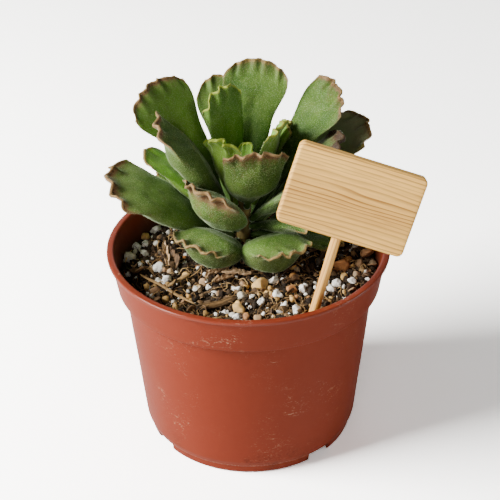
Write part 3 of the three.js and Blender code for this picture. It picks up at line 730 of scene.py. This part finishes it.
def make_pot():
    """Radius and height come from the profile, and x, y from the direction. Thin plastic is never quite
    round, so the wall swells and dips by a few hundredths of a millimetre."""
    angles = pot_angles()
    away = np.min([np.abs((angles - turn + 180) % 360 - 180) for turn in NOTCH_TURNS], axis=0)
    r, z = pot_profile[:, :1], pot_profile[:, 1:]
    z = np.where((r > SKIRT_RADIUS - 2) & (z < NOTCH_TOP) & (away < NOTCH_HALF), NOTCH_TOP, z)
    turn = np.radians(angles)
    swell = 0.05 * np.sin(3 * turn + 0.07 * z) + 0.03 * np.sin(7 * turn - 0.1 * z + 1)
    r = r + swell * smoothstep(z, 10, 30) * (1 - smoothstep(z, 58, 64))
    points, faces = tube(at(r, turn, z)[1:-1])
    points[-2:] = (0, 0, 0), (0, 0, FLOOR_TOP)
    return new_piece("moulded_pot", points, faces, [pot_plastic], "terracotta", "pot")


def drain_drill():
    """Eight upright rods on a ring, as one mesh, to cut the drain holes with."""
    rod = np.stack([at(3, all_round(24), z) for z in (1.0, 7.0)])
    points, sides, ends = [], [], []
    for k, centre in enumerate(at(24, all_round(8), 0)):
        flat, (quads, fans) = tube(rod + centre)
        points.append(flat)
        sides.append(quads + k * len(flat))
        ends.append(fans + k * len(flat))
    return new_piece("drain_drill", np.concatenate(points), [np.concatenate(sides), np.concatenate(ends)], [])


def cut_away(piece, tool):
    """A Boolean modifier takes the tool's volume out of the piece, and its result is kept as the mesh."""
    cut = piece.modifiers.new("cut", "BOOLEAN")
    cut.object, cut.operation, cut.solver = tool, "DIFFERENCE", "EXACT"
    graph = bpy.context.evaluated_depsgraph_get()
    piece.data = bpy.data.meshes.new_from_object(piece.evaluated_get(graph))
    piece.modifiers.clear()
    bpy.data.objects.remove(tool)


pot = make_pot()
cut_away(pot, drain_drill())
print("pot after drilling:", len(pot.data.polygons), "faces")

# %% [markdown]
# ## The soil: ground
# Potting mix is a heap of crumbs, fibres, white perlite and small stones. The ground under them is one
# closed surface: a rumpled top on rings and spokes, then down along the pot's inside to its floor. On it lie
# the separate bits, as real meshes, so that they catch the light and cast small shadows.

# %% Materials of the soil
def make_speck_material(name, roughness, fine, strength, *stops):
    """Colours by each bit's own tone, with mottling and a grainy bump."""
    material, tree = new_material(name, Roughness=roughness, Specular_IOR_Level=0.25)
    own = ramp(attribute(tree, "tone"), *stops)
    spots = ramp(mottle(tree, 500.0, fine, 0.5), (0.3, 0.75), (0.6, 0.0))
    colour = mix(spots, own, mix(0.7, own, (0.03, 0.02, 0.012)))
    grain = noise(object_place(tree), fine, 3.0)
    return dress(material, Base_Color=colour, Normal=bump(grain, strength, 0.0003))


peat = make_speck_material(
    "peat", 0.95, 1500.0, 0.7, (0.0, (0.008, 0.005, 0.003)), (0.5, (0.028, 0.017, 0.009)),
    (0.78, (0.085, 0.05, 0.024)), (1.0, (0.2, 0.125, 0.06)))
perlite = make_speck_material(
    "perlite", 0.85, 2400.0, 0.7, (0.0, (0.42, 0.37, 0.27)), (0.3, (0.74, 0.7, 0.6)),
    (1.0, (0.95, 0.93, 0.87)))
pebble_stone = make_speck_material(
    "pebble stone", 0.7, 900.0, 0.6, (0.0, (0.12, 0.1, 0.075)), (0.2, (0.42, 0.24, 0.07)),
    (0.4, (0.66, 0.42, 0.15)), (0.6, (0.42, 0.16, 0.04)), (0.8, (0.55, 0.45, 0.29)),
    (1.0, (0.2, 0.09, 0.035)))
straw = make_speck_material(
    "straw", 0.7, 1100.0, 0.4, (0.0, (0.05, 0.03, 0.014)), (0.5, (0.27, 0.15, 0.055)),
    (1.0, (0.6, 0.4, 0.17)))
dry_leaf = make_speck_material(
    "dry leaf", 0.75, 700.0, 0.6, (0.0, (0.035, 0.02, 0.012)), (0.5, (0.25, 0.14, 0.065)),
    (1.0, (0.62, 0.42, 0.24)))
print("materials", [material.name for material in (peat, perlite, pebble_stone, straw, dry_leaf)])

# %% Ground surface
SOIL_LEVEL = 58.0
SOIL_EDGE = collar_inside(SOIL_LEVEL) - 0.6


def soil_height(x, y):
    """Low soft rolls, a mound under the plant and a slight rise to the right."""
    rolls = np.sin(x * 0.31 + 1.2) * np.cos(y * 0.27 - 0.4) + 0.5 * np.sin(x * 0.13 - y * 0.35)
    mound = np.exp(-((x - STEM[0]) ** 2 + (y - STEM[1]) ** 2) / 200)
    return SOIL_LEVEL - 0.9 + 0.42 * rolls + 0.5 * mound + 0.02 * x


def rough_height(x, y):
    """The same with crumbly noise on it, at three sizes."""
    flat = np.stack([x, y, 0 * x], -1)
    crumbs = 0.45 * lumps(flat, 3.6, 1) + 0.4 * lumps(flat, 1.5, 2) + 0.22 * lumps(flat, 0.7, 3)
    return soil_height(x, y) + crumbs


def make_ground():
    """Rings of the rumpled top from the middle outwards, then five plain rings down inside the pot."""
    a, r = all_round(300), np.linspace(0.4, SOIL_EDGE, 92)[:, None]
    top = at(r, a, rough_height(r * np.cos(a), r * np.sin(a)))
    below = [(collar_inside(STEP_HIGH), STEP_HIGH + 0.2), (body_inside(STEP_LOW), STEP_LOW),
             (body_inside(6.6), 6.8), (body_inside(FLOOR_TOP) - 2, FLOOR_TOP), (1.0, FLOOR_TOP)]
    points, faces = tube(np.concatenate([top, [at(q - 0.3, a, z) for q, z in below]]))
    tone = 0.4 + 0.35 * lumps(points, 1.1, 6)
    new_piece("crumbly_ground", points, faces, [peat], "peat", "soil", values={"tone": tone})


make_ground()

# %% [markdown]
# ## The soil: stones and crumbs
# Hundreds of bits come from one formula. A ball is roughened by noise and cut flat by a few random planes,
# then stretched, turned and set on the ground. All copies are worked out at once, as one array. The larger
# ones lie where the picture shows them: a helper follows the camera's ray through a place in the picture
# down to the soil.

# %% Helpers for loose bits
def ball(level):
    """Points and triangles of an icosphere of radius 1."""
    shape = bmesh.new()
    bmesh.ops.create_icosphere(shape, subdivisions=level, radius=1.0)
    points = np.array([v.co for v in shape.verts])
    faces = np.array([[v.index for v in f.verts] for f in shape.faces])
    shape.free()
    return points, faces


def on_soil(px, py):
    """The place on the soil that is seen at a place in the picture: eye + t ray, at soil level."""
    ray = FOCAL * view + np.multiply.outer(np.asarray(px, float) - PICTURE / 2, right)
    ray = ray - np.multiply.outer(np.asarray(py, float) - PICTURE / 2, up)
    t = (SOIL_LEVEL - 0.5 - EYE[2]) / ray[..., 2]
    spot = (EYE + t[..., None] * ray)[..., :2]
    return spot * np.minimum(1, (SOIL_EDGE - 1.2) / np.hypot(spot[..., 0], spot[..., 1]))[..., None]


def random_turns(random, count):
    """Evenly spread turning matrices, from random unit quaternions."""
    q = random.normal(size=(4, count))
    w, x, y, z = q / np.linalg.norm(q, axis=0)
    return np.stack([
        np.stack([1 - 2 * (y * y + z * z), 2 * (x * y - w * z), 2 * (x * z + w * y)], -1),
        np.stack([2 * (x * y + w * z), 1 - 2 * (x * x + z * z), 2 * (y * z - w * x)], -1),
        np.stack([2 * (x * z - w * y), 2 * (y * z + w * x), 1 - 2 * (x * x + y * y)], -1)], 1)


def loose_bits(name, material, level, spots, sizes, tones, seed, rough, chips, squash, sink):
    """One mesh of many stones. Each starts as a ball; a chip is cut by moving the points beyond a plane
    back onto it: p - max(0, p.n - c) n."""
    random = np.random.default_rng(seed)
    base, triangles = ball(level)
    count = len(spots)
    shape = np.repeat(base[None], count, 0)
    knobs = lumps(shape + 9.0 * np.arange(count)[:, None, None], 0.6, seed)
    shape = shape * (1 + rough * knobs)[..., None]
    for _ in range(chips):
        n = unit(random.normal(size=(count, 1, 3)))
        beyond = (shape * n).sum(-1, keepdims=True) - random.uniform(0.5, 0.85, (count, 1, 1))
        shape = shape - np.maximum(0, beyond) * n
    stretch = [random.uniform(0.8, 1.2, count), random.uniform(0.8, 1.1, count), np.full(count, squash)]
    shape = shape * np.stack(stretch, -1)[:, None]
    shape = np.einsum("nij,nvj->nvi", random_turns(random, count), shape) * sizes[:, None, None]
    z = soil_height(spots[:, 0], spots[:, 1]) + sizes * (1 - 2 * sink)
    points = (shape + np.column_stack([spots, z])[:, None]).reshape(-1, 3)
    new_piece(name, points, [repeated(triangles, count, len(base))], [material], "peat",
              values={"tone": np.repeat(tones, len(base))})


def sprinkle(random, count, reach):
    """Places spread evenly over a disc: radius grows as a square root."""
    r, a = reach * np.sqrt(random.random(count)), 2 * np.pi * random.random(count)
    return np.stack([r * np.cos(a), r * np.sin(a)], -1)


print("picture place 250, 300 is soil place", on_soil(250, 300).round(1))

# %% Stones and perlite that the picture shows
# Each entry: across and down in the picture, radius in picture pixels, and tone.
PIXEL_MM = 0.316
SEEN_PERLITE = np.array([
    (134, 244, 4.5, 0.9), (145, 243, 4, 1), (153, 228, 6, 0.7), (129, 258, 7, 0.25), (144, 252, 5, 0.5),
    (158, 268, 7, 1), (167, 280, 6.5, 0.9), (158, 282, 4, 0.5), (148, 294, 3, 0.8), (174, 302, 4, 0.3),
    (204, 283, 4, 1), (209, 288, 3, 1), (214, 293, 3, 0.9), (195, 285, 2, 1), (235, 289, 3, 1),
    (242, 297, 5, 0.1), (274, 282, 5, 0.6), (278, 297, 5, 0.9), (302, 291, 4, 0.9), (284, 306, 4.5, 0.8),
    (297, 312, 6, 1), (226, 313, 4, 1), (216, 315, 3, 1), (237, 318, 4, 0.9), (261, 304, 4, 1),
    (264, 315, 3, 1), (280, 312, 3, 0.9), (337, 287, 6, 0.9), (331, 291, 4, 0.8), (352, 285, 4.5, 0.9),
    (368, 282, 3, 1), (327, 284, 3, 0.9), (322, 303, 3, 0.8), (177, 271, 2.5, 1), (185, 263, 2.5, 0.8),
    (139, 262, 2.5, 0.9), (142, 268, 2.5, 1), (345, 300, 2.5, 0.9), (250, 309, 2.5, 1), (128, 273, 3, 0.8),
])
SEEN_STONES = np.array([
    (144, 235, 6, 0.42), (146, 287, 5, 0.3), (166, 299, 4.5, 0.25), (243, 284, 5, 0.95),
    (260, 287, 9.5, 0.42),
    (268, 295, 5.5, 0.35), (276, 300, 4, 0.3), (291, 292, 5.5, 0.62), (238, 310, 7.5, 0.38),
    (338, 269, 10.5, 0.62),
    (367, 257, 8, 0.65), (344, 280, 5, 0.35), (357, 278, 4.5, 0.9), (363, 273, 4.5, 0.1),
    (352, 268, 4.5, 0.4),
    (375, 267, 5, 0.05), (259, 232, 4, 0.9), (318, 264, 5, 0.0), (341, 258, 4, 0.0), (332, 299, 3, 0.4),
    (309, 300, 3, 0.6), (190, 300, 3, 0.3), (181, 296, 3, 0.5), (156, 290, 3, 0.85), (353, 256, 4, 0.1),
])
for name, material, seen, seed, *shape in (
    ("perlite_balls", perlite, SEEN_PERLITE, 21, 0.5, 1, 0.8, 0.28),
    ("stones", pebble_stone, SEEN_STONES, 22, 0.14, 7, 0.75, 0.3),
):
    loose_bits(name, material, 3, on_soil(*seen[:, :2].T), seen[:, 2] * PIXEL_MM, seen[:, 3], seed, *shape)

# %% Loose bits all over
# Each line: name, material, fineness of the ball, number, smallest and largest radius, least and most tone,
# seed, and then roughness, chips, squash and sink. Sizes lean to the small end, by a cubed random number.
random = np.random.default_rng(33)
for name, material, level, count, small, large, low, high, seed, *shape in (
    ("peat_crumbs", peat, 2, 1500, 0.45, 1.5, 0.0, 0.92, 23, 0.45, 2, 0.7, 0.35),
    ("peat_dust", peat, 1, 3600, 0.25, 0.6, 0.0, 1.0, 24, 0.4, 0, 0.7, 0.0),
    ("perlite_grains", perlite, 2, 420, 0.22, 1.15, 0.3, 1.0, 25, 0.45, 2, 0.8, 0.15),
    ("pebble_grains", pebble_stone, 2, 300, 0.35, 1.5, 0.0, 1.0, 26, 0.2, 6, 0.75, 0.2),
    ("bark_flakes", dry_leaf, 2, 300, 0.6, 2.2, 0.0, 0.75, 27, 0.5, 3, 0.16, 0.1),
):
    spots = sprinkle(random, count, SOIL_EDGE - 0.8)
    sizes = small + (large - small) * random.random(count) ** 3
    near_stem = np.hypot(spots[:, 0] - STEM[0], spots[:, 1] - STEM[1]) < 22
    sizes = np.where(near_stem, np.minimum(sizes, 0.9), sizes)
    loose_bits(name, material, level, spots, sizes, random.uniform(low, high, count), seed, *shape)

# %% [markdown]
# ## The soil: fibres, straw and dry scraps
# Peat is full of thin roots and fibres. Each is a three-sided tube along a curve that wanders: its direction
# turns a little at each step. A few straws and curled scraps of old leaf lie on top.

# %% Fibres and straws
def wires(name, paths, radii, tones, sides=3, flat=1.0):
    """Tubes along paths of shape (number, steps, 3). Each ring stands square to the path's direction."""
    number, steps = paths.shape[:2]
    along = unit(np.gradient(paths, axis=1))
    across = unit(np.cross(along, [0, 0, 1.0]))
    above = np.cross(across, along)
    a = all_round(sides)[:, None]
    taper = np.sqrt(np.clip(1 - np.linspace(-1, 1, steps) ** 4, 0.05, 1))
    width = (radii[:, None] * taper)[..., None, None]
    rings = np.cos(a) * across[:, :, None] + flat * np.sin(a) * above[:, :, None]
    rings = paths[:, :, None] + width * rings
    index = np.arange(number * steps * sides).reshape(number, steps, sides)
    caps = [np.stack([ring[:, 0], ring[:, j + 1], ring[:, j]], -1)
            for ring in (index[:, 0], index[:, -1, ::-1]) for j in range(1, sides - 1)]
    new_piece(name, rings.reshape(-1, 3), [grid_faces(index), np.concatenate(caps)], [straw], "peat",
              values={"tone": np.repeat(tones, steps * sides)})


def wandering(starts, length, steps, wander, lift):
    """Paths over the soil: the heading is a running sum of small turns, and the height follows the soil."""
    count = len(starts)
    heading = 2 * np.pi * random.random((count, 1))
    heading = heading + np.cumsum(wander * random.normal(size=(count, steps)), 1)
    stride = (length / steps)[:, None]
    x = starts[:, :1] + np.cumsum(stride * np.cos(heading), 1)
    y = starts[:, 1:] + np.cumsum(stride * np.sin(heading), 1)
    keep = np.minimum(1, (SOIL_EDGE - 0.8) / np.hypot(x, y))
    x, y = x * keep, y * keep
    arch = np.sin(np.linspace(0, np.pi, steps)) * lift * random.random((count, 1))
    return np.stack([x, y, rough_height(x, y) + 0.35 + arch], -1)


def laid_between(first, last, lift, bow):
    """A nearly straight path between two picture places, resting on the soil, bowed by a sine."""
    a, b = on_soil(*first), on_soil(*last)
    t = np.linspace(0, 1, 24)[:, None]
    square = np.array([(b - a)[1], -(b - a)[0]]) / np.linalg.norm(b - a)
    spot = a + (b - a) * t + bow * np.sin(np.pi * t) * square
    return np.concatenate([spot, soil_height(spot[:, :1], spot[:, 1:]) + lift], 1)


FIBRES = 760
starts = sprinkle(random, FIBRES, SOIL_EDGE - 3)
fibres = wandering(starts, random.uniform(2.5, 9, FIBRES), 12, 0.38, 1.5)
wires("fibres", fibres, random.uniform(0.06, 0.2, FIBRES), random.uniform(0, 0.9, FIBRES))

# Each straw: two picture places, lift, bow, radius and tone.
STRAWS = [
    ((140, 275), (196, 307), 1.5, 0.3, 0.6, 0.6), ((168, 290), (190, 276), 1.9, -0.3, 0.8, 0.65),
    ((248, 281), (259, 303), 1.3, -1.2, 0.16, 0.6), ((186, 280), (203, 266), 1.5, 1.0, 0.2, 0.6),
    ((187, 294), (181, 277), 1.2, -1.0, 0.18, 0.7), ((119, 249), (123, 266), 2.0, 0.5, 0.25, 0.9),
]
straws = np.stack([laid_between(*entry[:4]) for entry in STRAWS])
wires("straws", straws, *np.array([entry[4:] for entry in STRAWS]).T, 8, 0.45)

# A strip of bark is a bundle of splinters, side by side and of unequal length.
SPLINTERS = 11
strip = []
for _ in range(SPLINTERS):
    shift, early, late = random.uniform(-1, 1), random.uniform(0, 9), random.uniform(0, 9)
    first = (196 + early, 309 - 0.27 * early + 2.6 * shift)
    last = (238 - late, 298 + 0.27 * late + 2.6 * shift)
    strip.append(laid_between(first, last, 1.5 - 0.7 * shift * shift, 0.5 + 0.2 * shift))
wires("bark_strip", np.stack(strip), random.uniform(0.28, 0.55, SPLINTERS),
      random.uniform(0.05, 0.5, SPLINTERS), 6, 0.8)

# %% Curled scraps of old leaf
def make_scrap(number, first, last, width, curl, tone, lift):
    """A thin curled sheet between two picture places: across it the sheet follows an arc, its edges are
    ragged by noise, and a second skin a little lower closes it."""
    seed = 40 + number
    a, b = on_soil(*first), on_soil(*last)
    t, v = np.meshgrid(np.linspace(0, 1, 40), np.linspace(-1, 1, 16), indexing="ij")
    along = (b - a) / np.linalg.norm(b - a)
    across = np.array([-along[1], along[0]])
    noise_big = lumps(np.stack([t * 9, v * 3, 0 * t], -1), 1.2, seed)
    noise_small = lumps(np.stack([t * 22, v * 7, 0 * t], -1), 1.2, seed + 50)
    leaf_like = 0.35 + 0.65 * np.sin(np.pi * np.clip(t, 0.03, 0.97)) ** 0.6
    half = width / 2 * leaf_like * (1 + 0.45 * noise_big + 0.25 * noise_small)
    angle, bend = v * curl, max(curl, 0.3)
    spot = a + (b - a) * t[..., None] + (half * np.sin(angle) / bend)[..., None] * across
    z = soil_height(spot[..., 0], spot[..., 1]) + lift + half * (1 - np.cos(angle)) / bend
    sheet = np.concatenate([spot, (z + 0.6 * noise_big + 0.35 * noise_small)[..., None]], -1)
    points, faces = tube(np.concatenate([sheet, (sheet - (0, 0, 0.16))[:, ::-1]], 1))
    new_piece(f"scrap_{number}", points, faces, [dry_leaf], "peat",
              values={"tone": tone + 0.25 * lumps(points, 0.9, seed)})


# Each scrap: two picture places, width, curl, tone and lift.
for number, scrap in enumerate((
    ((205, 279), (228, 271), 3.6, 1.9, 0.75, 1.2), ((222, 276), (251, 277), 3.4, 1.6, 0.85, 1.6),
    ((214, 284), (234, 279), 2.8, 2.1, 0.6, 1.0), ((167, 252), (176, 271), 4.4, 1.2, 0.15, 1.6),
    ((164, 246), (168, 268), 2.6, 1.5, 0.85, 1.8), ((283, 286), (300, 281), 2.6, 1.4, 0.3, 1.0),
), 1):
    make_scrap(number, *scrap)

# %% [markdown]
# ## The stem
# The stem is short and woody, ringed by the scars of leaves that have dropped. It is a tube of rings with
# shallow grooves and noise on them.

# %% Build the stem
SCAR_SPACING = 3.2


def make_stem():
    """A little less than the stem's radius, less a groove at each scar, plus soft lumps."""
    z, a = np.linspace(44.2, 74.4, 84)[:, None], all_round(48)
    off_scar = (z - 59.5 + SCAR_SPACING / 2) % SCAR_SPACING - SCAR_SPACING / 2
    groove = 0.3 * np.exp(-((off_scar / 0.45) ** 2))
    r = STEM_RADIUS - 0.08 - groove + 0.12 * lumps(at(STEM_RADIUS, a, z), 1.4, 8)
    r[0], r[-1] = r[0] * 0.8, r[-1] * 0.7
    points, faces = tube(at(r, a, z) + (*STEM, 0))
    tone = lumps(points, 2.0, 9) / 2 + 0.5
    new_piece("scarred_stem", points, faces, [stem_bark], "bark", "stem", values={"tone": tone})


stem_bark = make_speck_material(
    "stem bark", 0.8, 900.0, 0.5, (0.0, rgb("4d4426")), (0.5, rgb("7a6a3a")), (1.0, rgb("97864c")))
make_stem()

# %% [markdown]
# ## The label
# A small pine board sits on a round stick that is pushed into the soil. Both lean the same way. The board's
# edges and corners are rounded by sanding, and its face is left bare. Its grain runs along its length, so the
# wood gets its own place coordinates, which follow the board and not the room.

# %% Where the label stands
STAKE_FOOT = np.array([19.3, -28.2, 58.0])
LEAN_BACK, LEAN_RIGHT = math.radians(14.5), math.radians(16.2)
LABEL_TURN = np.array(Matrix.Rotation(-LEAN_BACK, 3, "X") @ Matrix.Rotation(LEAN_RIGHT, 3, "Y"))
BOARD = SimpleNamespace(
    width=39.6, height=25.3, thick=4.6, corner=1.9, edge=0.8, low=25.3, shift=0.9, turn=2.1)


def in_label_frame(points):
    """Turns points about the stick's foot: first to the right, then back."""
    return points @ LABEL_TURN.T + STAKE_FOOT


print("label axis", LABEL_TURN[:, 2].round(3))

# %% Material of the wood
def make_wood_material(name, pale, dark, spacing):
    """Pale wood with darker rings. The rings' distance is warped, so their lines wander and bunch up."""
    material, tree = new_material(name, Specular_IOR_Level=0.25)
    place = attribute(tree, "wood_place", "Vector")
    long = add(tree, "ShaderNodeMapping", in_0=place, Scale=(0.09, 1.0, 1.0)).outputs[0]
    drift, fibre = noise(long, 190.0, 2.0), noise(long, 1500.0, 3.0)
    broad, warmth = noise(long, 160.0, 1.0), noise(long, 60.0, 1.0)
    _, across, through = add(tree, "ShaderNodeSeparateXYZ", in_0=place).outputs
    bend = times(sums("SUBTRACT", drift, 0.5), 3.4 * spacing)
    depth = plus(through, times(across, 0.6), bend)
    ring = sums("FRACT", sums("DIVIDE", depth, spacing))
    late = ramp(ring, (0.0, 0.06), (0.5, 0.16), (0.8, 0.85), (0.88, 1.0), (0.96, 0.06))
    colour = mix(times(late, ramp(broad, (0.34, 0.5), (0.56, 1.0))), pale, dark)
    colour = mix(ramp(fibre, (0.35, 0.0), (0.75, 0.3)), colour, dark)
    colour = mix(ramp(warmth, (0.4, 0.0), (0.7, 0.35)), colour, dark)
    return dress(material, Base_Color=colour, Roughness=ramp(fibre, (0.3, 0.52), (0.7, 0.72)),
                 Normal=bump(plus(fibre, times(late, 0.6)), 0.25))


board_wood = make_wood_material("board pine", (0.98, 0.575, 0.135), (0.27, 0.1, 0.02), 0.0014)
stick_wood = make_wood_material("stick pine", (0.92, 0.56, 0.17), (0.5, 0.22, 0.04), 0.0011)
print("materials", board_wood.name, stick_wood.name)

# %% Build the board and the stick
def board_outline(inset, count=9):
    """A rectangle with quarter-circle corners, drawn inset from the edge, with count points a corner."""
    half = np.array([BOARD.width, BOARD.height]) / 2 - BOARD.corner
    radius = max(BOARD.corner - inset, 0.05)
    a = np.concatenate([np.linspace(k * np.pi / 2, (k + 1) * np.pi / 2, count) for k in range(4)])
    corners = np.repeat([(1, 1), (-1, 1), (-1, -1), (1, -1)], count, axis=0)
    centre = corners * (half - max(inset - BOARD.corner + 0.05, 0))
    return centre + radius * np.stack([np.cos(a), np.sin(a)], -1)


def make_board():
    """Rings from the front to the back: a flat face, a quarter circle over the edge, the side, and back."""
    edge, front = BOARD.edge, BOARD.thick / 2
    a = np.linspace(0, np.pi / 2, 7)
    inset = np.concatenate([[6, 2.2, edge + 0.25], edge * (1 - np.sin(a))])
    depth = np.concatenate([[front] * 3, front - edge * (1 - np.cos(a))])
    rings = [*zip(inset, -depth), *zip(inset[::-1], depth[::-1])]
    points, faces = tube(np.stack([np.insert(board_outline(i), 1, y, axis=1) for i, y in rings]))
    wood = points * MM
    askew = np.array(Matrix.Rotation(math.radians(BOARD.turn), 3, "Y"))
    points = (points + (BOARD.shift, 0, 0)) @ askew.T + (0, 0, BOARD.low + BOARD.height / 2)
    new_piece("pine_board", in_label_frame(points), faces, [board_wood], "pine", "label_board",
              values={"wood_place": wood})


def make_stick():
    """A round rod along the label's axis, a touch uneven, with its lower end cut to a blunt point."""
    z = np.concatenate([[-14.0, -13.4], np.linspace(-11, 32.6, 40), [33.3]])[:, None]
    r = np.concatenate([[0.5, 0.8], np.full(40, 1.5), [1.4]])[:, None]
    a = all_round(28)
    points, faces = tube(at(r + 0.05 * lumps(at(2, a, z / 8), 1.3, 5), a, z))
    new_piece("pine_stick", in_label_frame(points), faces, [stick_wood], "pine", "label_stake",
              values={"wood_place": points[:, ::-1] * MM})


make_board()
make_stick()

# %% [markdown]
# ## The room
# The plant stands on a pale seamless sheet that turns up far behind it, on every side. A soft light comes
# from the left and a weaker one fills from the front, so the shadow falls softly to the right. A low card
# lifts the pot's shaded side, and a small light behind evens out the sheet. The sheet looks brighter to the
# camera than it is for the other light paths, as an overexposed white background does, and more so far away,
# where little of the lamps' light arrives.

# %% The sheet
def make_paper():
    """White paper, made brighter for the camera's own rays, from near the middle to far away."""
    material, tree = new_material("paper", Roughness=0.9, Specular_IOR_Level=0.1)
    white = mix(mottle(tree, 3.0, 300.0, 0.1), rgb("e6e6e4"), rgb("eaeae9"))
    away = add(tree, "ShaderNodeVectorMath", operation="LENGTH", in_0=object_place(tree)).outputs["Value"]
    glow = mix(spread(away, 0.6, 2.6), (3.1, 3.1, 3.12), (17.0, 17.0, 17.0))
    seen = add(tree, "ShaderNodeLightPath").outputs["Is Camera Ray"]
    return dress(material, Base_Color=mix(seen, white, glow))


def make_sheet():
    """A flat disc whose edge turns up all round: radius and height follow a quarter circle, then a wall."""
    bend = np.linspace(0, np.pi / 2, 20)
    radius = np.concatenate([[300.0, 1000.0], 1900 + 900 * np.sin(bend), [2800.0]])[:, None]
    height = np.concatenate([[0.0, 0.0], 900 * (1 - np.cos(bend)), [2600.0]])[:, None]
    rings = at(radius, all_round(96), height)
    index = np.arange(rings[..., 0].size).reshape(rings.shape[:2])
    points = np.concatenate([rings.reshape(-1, 3), [(0, 0, 0)]])
    return new_piece("floor", points, [grid_faces(index), fan_faces(index[0], index.size)], [make_paper()])


floor = make_sheet()

# %% Lights and sky
def soft_light(name, place, aim, size, power, colour=(1, 1, 1)):
    """A square area light at place, in metres, turned so that its -Z points at aim."""
    lamp = bpy.data.lights.new(name, "AREA")
    lamp.size, lamp.energy, lamp.color = size, power, colour
    item = bpy.data.objects.new(name, lamp)
    item.location = place
    item.rotation_euler = (Vector(aim) - Vector(place)).to_track_quat("-Z", "Y").to_euler()
    bpy.context.scene.collection.objects.link(item)


soft_light("window", (-0.6, -0.14, 0.42), (0, 0, 0.05), 0.42, 21.6, (1.0, 0.985, 0.94))
soft_light("fill", (-0.05, -1.15, 0.28), (0, 0, 0.06), 0.8, 5.6, (1.0, 0.96, 0.92))
soft_light("card", (0.9, -0.1, 0.05), (0, 0, 0.05), 0.4, 4.2, (0.9, 0.97, 1.0))
soft_light("back", (-0.1, 0.95, 0.35), (-0.05, 0.4, 0), 0.5, 0.9)
world = bpy.data.worlds.new("sky")
world.use_nodes = True
sky = world.node_tree.nodes["Background"]
sky.inputs["Color"].default_value = (1.0, 0.94, 0.87, 1)
sky.inputs["Strength"].default_value = 0.045
bpy.context.scene.world = world
